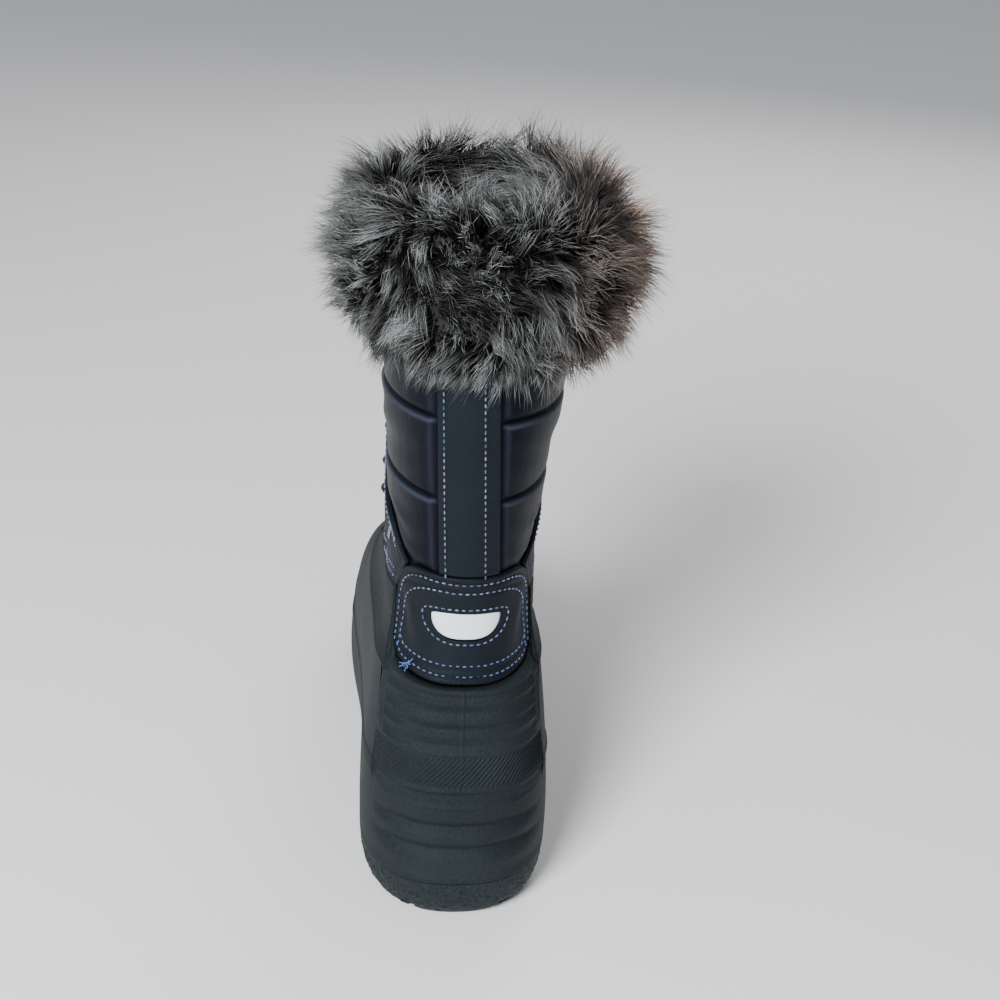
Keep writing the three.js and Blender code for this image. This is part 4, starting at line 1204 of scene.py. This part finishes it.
cut_away(counter, *prism_along([tuple(p) for p in half_moon(0)], s_from=-20, s_to=HEEL_CENTRE + 2))
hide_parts("heel_counter")


def turns_behind(shape):
    """Turns of the points on the back of the upper under an (x, z) shape."""
    near = np.linspace(-0.16, 0.16, 600)
    return np.array([np.interp(x, outline(UPPER, z, near)[:, 0], near) for x, z in shape])


def back_points(shape, offset):
    """Points on the back of the upper under an (x, z) shape."""
    return on_upper(shape[:, 1], turns_behind(shape), offset)


def on_overlay(line):
    """A line of (turn, height) points as points on the overlays' outside."""
    return on_upper(line[:, 1], line[:, 0], THREAD_LEVEL)


border_rows = []
for inset in COUNTER["rows"]:
    edge_line = [(COUNTER["front"] - inset, 106), *counter_border(inset), (14.6, COUNTER["top"] - inset)]
    border_rows.append(on_overlay(whole_back(filled_in(edge_line))))
for rise in FOOT_ROWS["rises"]:
    front, *rest = [(s, z + rise) for s, z in FOOT_ROWS["line"]]
    foot_line = [(front[0] - FOOT_ROWS["slant"] * rise, front[1]), *rest]
    border_rows.append(on_overlay(whole_back(filled_in(foot_line))))
round_window = half_moon(WINDOW["row"])
window_row = back_points(np.vstack([round_window, round_window[:1]]), THREAD_LEVEL)
sew("counter_stitches", [*border_rows, window_row])

# Thread ends that were never trimmed, at the counter's inner foot.
LOOSE_ENDS, LOOSE_RADIUS = 16, 0.2
LOOSE_LEAN, LOOSE_SPREAD = np.array((1.8, 2.2, 0)), (1.5, 0.9, 1.1)
loose = np.random.default_rng(21)
loose_root = on_overlay(side_line(1, [(21, 102.2)]))[0]
loose_paths = []
for _ in range(LOOSE_ENDS):
    sideways = loose.normal(size=3) * LOOSE_SPREAD
    half_way = loose_root + (1.2, 1.6, 0) + 0.4 * sideways
    loose_paths.append(smooth_path([loose_root, half_way, loose_root + LOOSE_LEAN + sideways], 6))
loose_blue = new_finish(
    "bright blue thread", Base_Color=(0.015, 0.09, 0.36, 1), Roughness=0.5, Sheen_Weight=0.4
)[0]
cord_piece("thread_ends", loose_paths, LOOSE_RADIUS, 6, loose_blue, "cord")

# ---------------------------------------------------------------------------------------------
# Reflector. A silver-white plastic film on a thin cushion. It lies behind the counter, shows
# through its window and is held there by the row of stitches round it.
REFLECTOR_STEPS = 14
FILM_CREEP = 0.35  # power that crowds its rings towards the edge


def reflector_finish():
    """Silver-white film: small cells under a slightly uneven white."""
    material, tree, shader = new_finish("silver white film", Roughness=0.34, Specular_IOR_Level=0.6)
    cells = texture(tree, "Voronoi", "Distance", Scale=900)
    clouds = texture(tree, "Noise", "Fac", Scale=90, Detail=3)
    tint = colour_run(tree, clouds, (0.64, 0.72, 0.77), (0.88, 0.96, 1.0))
    dress(tree, shader, tint, raised(tree, cells, 0.25, 0.0003))
    return material


film_outline = half_moon(-0.1)
film_middle = np.array([0, WINDOW["top"] - WINDOW["drop"] * 0.42])
film_rings = []
for share in np.linspace(0, 1, REFLECTOR_STEPS) ** FILM_CREEP:
    dome = GAP + 1.1 * (1 - share**30) + 0.3 * (1 - share**2)
    film_rings.append(back_points(film_middle + (film_outline - film_middle) * share, dome))
for share in (1, 0.001):
    film_rings.append(back_points(film_middle + (film_outline - film_middle) * share, GAP))
film_faces = grid_faces(len(film_rings), len(film_outline), wrap_columns=True)
reflector = closed_mesh("reflector_film", film_rings, film_faces, reflector_finish(), "reflector")
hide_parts("reflector")

# ---------------------------------------------------------------------------------------------
# Backstay. A strip of the same leather look up the middle of the back into the fur, with a row
# of stitches near each edge.
STAY_ROWS = (BACKSTAY["half"] - 2.4, 5.2 - BACKSTAY["half"])
stay_levels = np.linspace(BACKSTAY["foot"] + 0.2, BACKSTAY["top"] + 6, 26)


def stay_line(side_shift):
    """A line up the back, a distance to the side of the backstay's middle."""
    shape = np.stack([backstay_middle(stay_levels) + side_shift, stay_levels], -1)
    return np.stack([turns_behind(shape), stay_levels], -1)


stay_sides = [stay_line(side * BACKSTAY["half"]) for side in (1, -1)]
backstay = panel("backstay_strip", *stay_sides, (60, 16), leather, "overlay", sunk=(2.9,))
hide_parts("backstay")
sew("backstay_stitches", [on_overlay(stay_line(shift)) for shift in STAY_ROWS])

# ---------------------------------------------------------------------------------------------
# Facings. One overlay on each side of the throat, running back as a band along the shell's rim
# to the counter, sewn in two rows along its edge and one beside the throat.
EDGE_ROWS, RIM_ROWS = (2.6, 5.6), (3.0, 6.2)
throat_levels = np.linspace(THROAT["foot"], FACING_EDGE[-1][1], 30)
ROW_SHIFT = (0.62, 0.8)  # of a row's s and z, as a share of its inset, where the edge slopes
BAR_TACK = {"s": 52, "half": 1.4, "foot": 138, "top": 147, "step": 0.45}
tack_levels = np.arange(BAR_TACK["foot"], BAR_TACK["top"], BAR_TACK["step"])
facing_rows, tacks = [], []
for side, word in ((1, "medial"), (-1, "lateral")):
    shift = 0 if side > 0 else -1
    far_edge = side_line(side, filled_in([(29.5, 138.6), *FACING_EDGE[2:]]))
    rim_part = [(36.3, 125.5), *(point for point in RIM_LINE if 36 < point[0] < 132)]
    rim_edge = side_line(side, filled_in(rim_part, 3) + (0, GAP))
    throat_turns = turn_across(side * THROAT["half"], throat_levels) + shift
    near_edge = np.vstack([rim_edge, np.stack([throat_turns, throat_levels], -1)])
    facing = panel(
        f"facing_{word}_overlay", far_edge, near_edge, (150, 44), leather, "overlay", sunk=EDGE_ROWS[:1]
    )
    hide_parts(f"facing_{word}")
    for inset in EDGE_ROWS:
        sloping = [(s + inset * ROW_SHIFT[0], z - inset * ROW_SHIFT[1]) for s, z in FACING_EDGE[3:6]]
        steep = [(s + inset, z) for s, z in FACING_EDGE[6:]]
        edge_row = filled_in([(40, 146 - inset), *sloping, *steep])
        facing_rows.append(on_overlay(side_line(side, edge_row)))
    beside = turn_across(side * (THROAT["half"] + 3), throat_levels[1:]) + shift
    facing_rows.append(on_overlay(np.stack([beside, throat_levels[1:]], -1)))
    for rise in RIM_ROWS:
        along_rim = [(s, line_at(RIM_LINE, s) + rise) for s in np.arange(40, 128, 2.0)]
        facing_rows.append(on_overlay(side_line(side, along_rim)))
    tack = [(BAR_TACK["s"] + BAR_TACK["half"] * (-1) ** k, z) for k, z in enumerate(tack_levels)]
    tacks.append(on_overlay(side_line(side, tack)))
sew("facing_stitches", facing_rows)
sew("bar_tacks", tacks, pitch=0.7, length=1.3, thickness=0.42)

# ---------------------------------------------------------------------------------------------
# Lace loops. Ten small half rings of moulded plastic stand on the facings, open up and down, each
# fixed through the overlay by a rivet under its feet.
LOOP_LEVELS = range(130, 199, 17)
LOOP = {"across": 21, "radius": 4.6, "thick": 1.1, "foot": GAP + OVERLAY + GAP}
bends = np.linspace(0, math.pi, 22)[:, None]
loop_paths = []
for side in (1, -1):
    for z in LOOP_LEVELS:
        turn = turn_across(side * LOOP["across"], z)
        foot, tip = (surface(UPPER, z, turn, LOOP["foot"] + rise) for rise in (0, 10))
        out = (tip - foot) / np.linalg.norm(tip - foot)
        along = np.cross((0, 0, 1), out)
        along /= np.linalg.norm(along)
        height = LOOP["thick"] + LOOP["radius"] * np.sin(bends)
        loop_paths.append(foot + LOOP["radius"] * np.cos(bends) * along + height * out)
loops = cord_piece("lace_loops", loop_paths, LOOP["thick"], 12, clip_plastic, "plastic")
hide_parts(*[f"lace_loop_{word}_{i + 1}" for word in ("medial", "lateral") for i in range(5)])

# ---------------------------------------------------------------------------------------------
# Lace. Two braided elastic cords cross from loop to loop up the throat, over a bar at its foot.
# The loops hold them, and one passes over the other at each crossing.
CORD_IN_LOOP, CORD_BEND = 2.4, 4
# Places across between two loops, as a share of the way to the loop, with the cord's height there.
CROSSING = {0.66: 4.4, 0.33: 3.0, 0: 2.4, -0.33: 3.0, -0.66: 4.4}
PASS_OVER = 2.5  # by which one cord clears the other in the middle
OVER_SPREAD = 0.4  # of that rise, as a share of the way to the loops


def front_point(across, z, offset):
    """A point on the front of the leg, a way across from the boot's own middle."""
    return surface(UPPER, z, turn_across(across, z), offset)


def in_loop(side, z, rise):
    """A point of the cord inside the loop at one side and height, or a rise above it."""
    return front_point(side * LOOP["across"], z, LOOP["foot"] + CORD_IN_LOOP) + (0, 0, rise)


def crossing(side, low, high, lift=0.0):
    """Points of a cord from one side to the other, raised by a lift where it passes over."""
    step = (high - low) / (len(CROSSING) + 1)
    return [
        front_point(
            side * share * LOOP["across"], low + step * (k + 1), height + lift * bead(share, OVER_SPREAD)
        )
        for k, (share, height) in enumerate(CROSSING.items())
    ]


def lace_run(first_side):
    """One cord's way up the throat, through a loop at every level, from side to side."""
    points = []
    for i, z in enumerate(LOOP_LEVELS):
        side = first_side if i % 2 == 0 else -first_side
        points += [in_loop(side, z, rise) for rise in (-CORD_BEND, 0, CORD_BEND)]
        if i + 1 < len(LOOP_LEVELS):
            over = PASS_OVER if side > 0 else 0
            points += crossing(side, z + CORD_BEND, LOOP_LEVELS[i + 1] - CORD_BEND, over)
    return points


bar_height = LOOP_LEVELS[0] - 2 * CORD_BEND
turn_down = [
    [in_loop(side, LOOP_LEVELS[0], rise - CORD_BEND) for rise in (0.5, -1)] for side in (1, -1)
]
lace_bar = [*turn_down[0], *crossing(1, bar_height, bar_height), *turn_down[1][::-1]]
lace_paths = [smooth_path(path, PATH_STEPS) for path in (lace_run(1), lace_run(-1), lace_bar)]
lace = cord_piece("elastic_lace", lace_paths, CORD_DIAMETER / 2, CORD_SIDES, braid, "cord")
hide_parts("lace")

# ---------------------------------------------------------------------------------------------
# Fur cuff. Long synthetic fur on a knitted backing wrapped over the collar: dark roots, silver
# tips, gathered in tufts that lie outwards and down.
# The backing's section, as (offset from the upper, height), from its outer foot over the top.
CUFF_SECTION = [
    (0.6, 224), (5, 221.5), (9.5, 226), (12, 236), (12.5, 247), (10.5, 257), (6.5, 263.5), (1, 267.8),
    (-3.5, 268), (-6.2, 265), (-6.6, 259), (-3.6, 255), (-3.4, 268.8), (0.5, 268.8), (0.5, 262), (0.6, 240),
]
# Colours along a hair between its root and its tip.
FUR_TONES = {0.3: (0.008, 0.008, 0.0082), 0.52: (0.042, 0.043, 0.043), 0.75: (0.17, 0.175, 0.175)}


def fur_finish():
    """Each hair runs from a near-black root through charcoal to a silver tip; tone differs by tuft."""
    material, tree, shader = new_finish("long fur", Roughness=0.4, Specular_IOR_Level=0.5)
    along, tone = (
        add_node(tree, "ShaderNodeAttribute", attribute_name=name).outputs["Fac"]
        for name in ("along", "tone")
    )
    shifted = maths(tree, "MULTIPLY_ADD", tone, 0.78, -0.40)
    place = add_node(tree, "ShaderNodeMath", {0: along, 1: shifted}, operation="ADD", use_clamp=True)
    tint = colour_run(tree, place.outputs[0], (0.0028, 0.0028, 0.003), (0.40, 0.415, 0.415))
    for position, colour in FUR_TONES.items():
        tint.node.color_ramp.elements.new(position).color = (*colour, 1)
    outer_side = run_over(tree, place_along(tree, "X"), -0.02, -0.07)
    warm = blended(tree, "MULTIPLY", outer_side, tint, (1.45, 0.86, 0.54, 1))
    tree.links.new(warm, shader.inputs["Base Color"])
    return material


# Where hairs change in length: axis, from and to in metres, and the share of the length at each.
LENGTH_CHANGES = [
    ("Z", 0.222, 0.25, 0.5, 1.0), ("X", 0.04, -0.055, 0.86, 1.12), ("Z", 0.26, 0.268, 1.0, 1.3),
]
TUFT_SEED = 5


def fur_tree():
    """Tapered hairs on a backing that lean with the tuft they belong to and close up at its tip."""
    tree, given, result = new_tree("fur", {
        "Hairs": "Float", "Tufts": "Float", "Length": "Float", "Thickness": "Float", "Gather": "Float",
        "Droop": "Float", "Seed": "Int", "Fur": "Material",
    })

    def number(operation, *values):
        return maths(tree, operation, *values)

    def vector(operation, *values, **named):
        return maths(tree, operation, *values, kind="VectorMath", **named)

    def in_use(sockets, name=None):
        return [socket for socket in sockets if socket.enabled and name in (None, socket.name)]

    def random_value(kind, low, high, seed):
        node = add_node(tree, "FunctionNodeRandomValue", {"Seed": seed}, data_type=kind)
        lowest, highest = in_use(node.inputs)[:2]
        lowest.default_value, highest.default_value = low, high
        return in_use(node.outputs)[0]

    def given_value(kind, feeds, data_type, value):
        """A node that works on the points' own numbers, fed with one of them."""
        node = add_node(tree, kind, feeds, data_type=data_type, domain="POINT")
        tree.links.new(value, in_use(node.inputs, "Value")[0])
        return node.outputs

    def remember(geometry, name, data_type, value):
        feeds = {"Geometry": geometry, "Name": name}
        return given_value("GeometryNodeStoreNamedAttribute", feeds, data_type, value)["Geometry"]

    def recall(name, data_type):
        node = add_node(tree, "GeometryNodeInputNamedAttribute", {"Name": name}, data_type=data_type)
        return in_use(node.outputs, "Attribute")[0]

    skin = given["Geometry"]
    roots = add_node(tree, "GeometryNodeDistributePointsOnFaces", {
        "Mesh": skin, "Density": given["Hairs"], "Seed": given["Seed"],
    }).outputs
    centres = add_node(tree, "GeometryNodeDistributePointsOnFaces", {
        "Mesh": skin, "Density": given["Tufts"], "Seed": TUFT_SEED,
    }).outputs["Points"]
    position = tree.nodes.new("GeometryNodeInputPosition").outputs["Position"]
    search = {"Geometry": centres, "Sample Position": position}
    nearest = add_node(tree, "GeometryNodeSampleNearest", search).outputs["Index"]

    def of_tuft(data_type, value):
        feeds = {"Geometry": centres, "Index": nearest}
        sampled = given_value("GeometryNodeSampleIndex", feeds, data_type, value)
        return in_use(sampled, "Value")[0]

    # Lumps are slow changes of lean and tone over several tufts.
    lumps = add_node(tree, "ShaderNodeTexNoise", {"Scale": 42, "Detail": 1}).outputs
    lump_lean = vector("SCALE", vector("SUBTRACT", lumps["Color"], (0.5, 0.5, 0.5)), Scale=4.2)
    own_lean = random_value("FLOAT_VECTOR", (-0.5, -0.5, -0.5), (0.5, 0.5, 0.4), 4)
    tuft_lean = vector("ADD", own_lean, lump_lean)
    lump_tone = number("MULTIPLY", number("SUBTRACT", lumps["Fac"], 0.5), 0.7)
    tuft_tone = number("ADD", random_value("FLOAT", 0.0, 0.55, 3), lump_tone)
    tone = number("ADD", of_tuft("FLOAT", tuft_tone), random_value("FLOAT", 0.0, 0.3, 5))
    away = vector("SUBTRACT", of_tuft("FLOAT_VECTOR", position), position)
    stray = vector("SCALE", random_value("FLOAT_VECTOR", (-1, -1, -1), (1, 1, 1), 6), Scale=0.2)
    heading = vector("ADD", vector("ADD", roots["Normal"], stray), of_tuft("FLOAT_VECTOR", tuft_lean))
    heading = vector("NORMALIZE", vector("ADD", heading, (0, 0, -0.05)))

    place = add_node(tree, "ShaderNodeSeparateXYZ", {"Vector": position}).outputs
    length = number("MULTIPLY", given["Length"], random_value("FLOAT", 0.72, 1.08, 7))
    length = number("MULTIPLY", length, of_tuft("FLOAT", random_value("FLOAT", 0.72, 1.12, 8)))
    for axis, *span in LENGTH_CHANGES:
        length = number("MULTIPLY", length, run_over(tree, place[axis], *span))
    points = remember(roots["Points"], "tone", "FLOAT", tone)
    points = remember(points, "away", "FLOAT_VECTOR", away)
    points = remember(points, "long", "FLOAT", length)
    hair = add_node(tree, "GeometryNodeMeshCone", {
        "Vertices": 3, "Side Segments": 3, "Radius Top": 0.0, "Radius Bottom": 1.0, "Depth": 1.0,
    })
    hair_mesh = remember(hair.outputs["Mesh"], "along", "FLOAT", place["Z"])
    sizes = {"X": given["Thickness"], "Y": given["Thickness"], "Z": length}
    size = add_node(tree, "ShaderNodeCombineXYZ", sizes).outputs["Vector"]
    placed = set_on(tree, points, hair_mesh, "Z", heading, Scale=size)
    hairs = next_geometry(tree, "RealizeInstances", placed)

    # Each hair falls, closes up with its tuft and waves, all of it more towards its tip.
    share = recall("along", "FLOAT")
    bent = number("POWER", share, 1.8)
    fall = number("MULTIPLY", number("MULTIPLY", bent, recall("long", "FLOAT")), given["Droop"])
    together = number("MULTIPLY", number("POWER", share, 1.2), given["Gather"])
    waves = add_node(tree, "ShaderNodeTexNoise", {"Scale": 90, "Detail": 1}).outputs["Color"]
    wave = vector("SUBTRACT", waves, (0.5, 0.5, 0.5))
    falling = vector("SCALE", (0, 0, -1), Scale=fall)
    closing = vector("SCALE", recall("away", "FLOAT_VECTOR"), Scale=together)
    waving = vector("SCALE", wave, Scale=number("MULTIPLY", bent, 0.012))
    offset = vector("ADD", vector("ADD", falling, closing), waving)
    hairs = next_geometry(tree, "SetPosition", hairs, Offset=offset)
    hairs = next_geometry(tree, "SetShadeSmooth", hairs)
    grown = next_geometry(tree, "SetMaterial", hairs, Material=given["Fur"])
    tree.links.new(grown, result["Geometry"])
    return tree


CUFF_COLUMNS = 96
cuff_turns = even_turns(CUFF_COLUMNS)
cuff_rings = np.array([surface(UPPER, z, cuff_turns, offset) for offset, z in CUFF_SECTION])
cuff_faces = grid_faces(len(CUFF_SECTION), CUFF_COLUMNS, wrap_rows=True, wrap_columns=True)


def backing_finish():
    """Knitted backing, nearly black, uneven like its yarn."""
    material, tree, shader = new_finish("knitted backing", Roughness=0.95)
    knit = texture(tree, "Noise", "Fac", Scale=5800, Detail=4)
    tint = colour_run(tree, knit, (0.004, 0.004, 0.0045), (0.016, 0.0155, 0.015))
    tree.links.new(tint, shader.inputs["Base Color"])
    return material


backing = closed_mesh("fur_backing", cuff_rings, cuff_faces, backing_finish(), "fur")
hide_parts("fur_cuff")

# Hairs grow only from the side of the backing that faces away from the leg.
BEARING_ROWS = 12
HAIRS_A_LAYER, TUFTS = 10000, 1150
FUR_LAYERS = {
    "fur_under": {"Length": 0.015, "Thickness": 0.00026, "Gather": 0.6, "Droop": 0.2, "Seed": 1},
    "fur_long_a": {"Length": 0.022, "Thickness": 0.00022, "Gather": 0.75, "Droop": 0.25, "Seed": 2},
    "fur_long_b": {"Length": 0.0205, "Thickness": 0.00022, "Gather": 0.75, "Droop": 0.22, "Seed": 3},
}
bearing = cuff_rings[:BEARING_ROWS]
bearing_faces = grid_faces(BEARING_ROWS, CUFF_COLUMNS, wrap_columns=True)[:, ::-1]
corners = bearing.reshape(-1, 3)[bearing_faces] * MM
diagonals = corners[:, 2] - corners[:, 0], corners[:, 3] - corners[:, 1]
bearing_area = 0.5 * np.linalg.norm(np.cross(*diagonals), axis=1).sum()
growth = {"Hairs": HAIRS_A_LAYER / bearing_area, "Tufts": TUFTS / bearing_area, "Fur": fur_finish()}
growing = fur_tree()
for name, values in FUR_LAYERS.items():
    grow_with(name, bearing, [], bearing_faces.tolist(), growing, {**values, **growth})
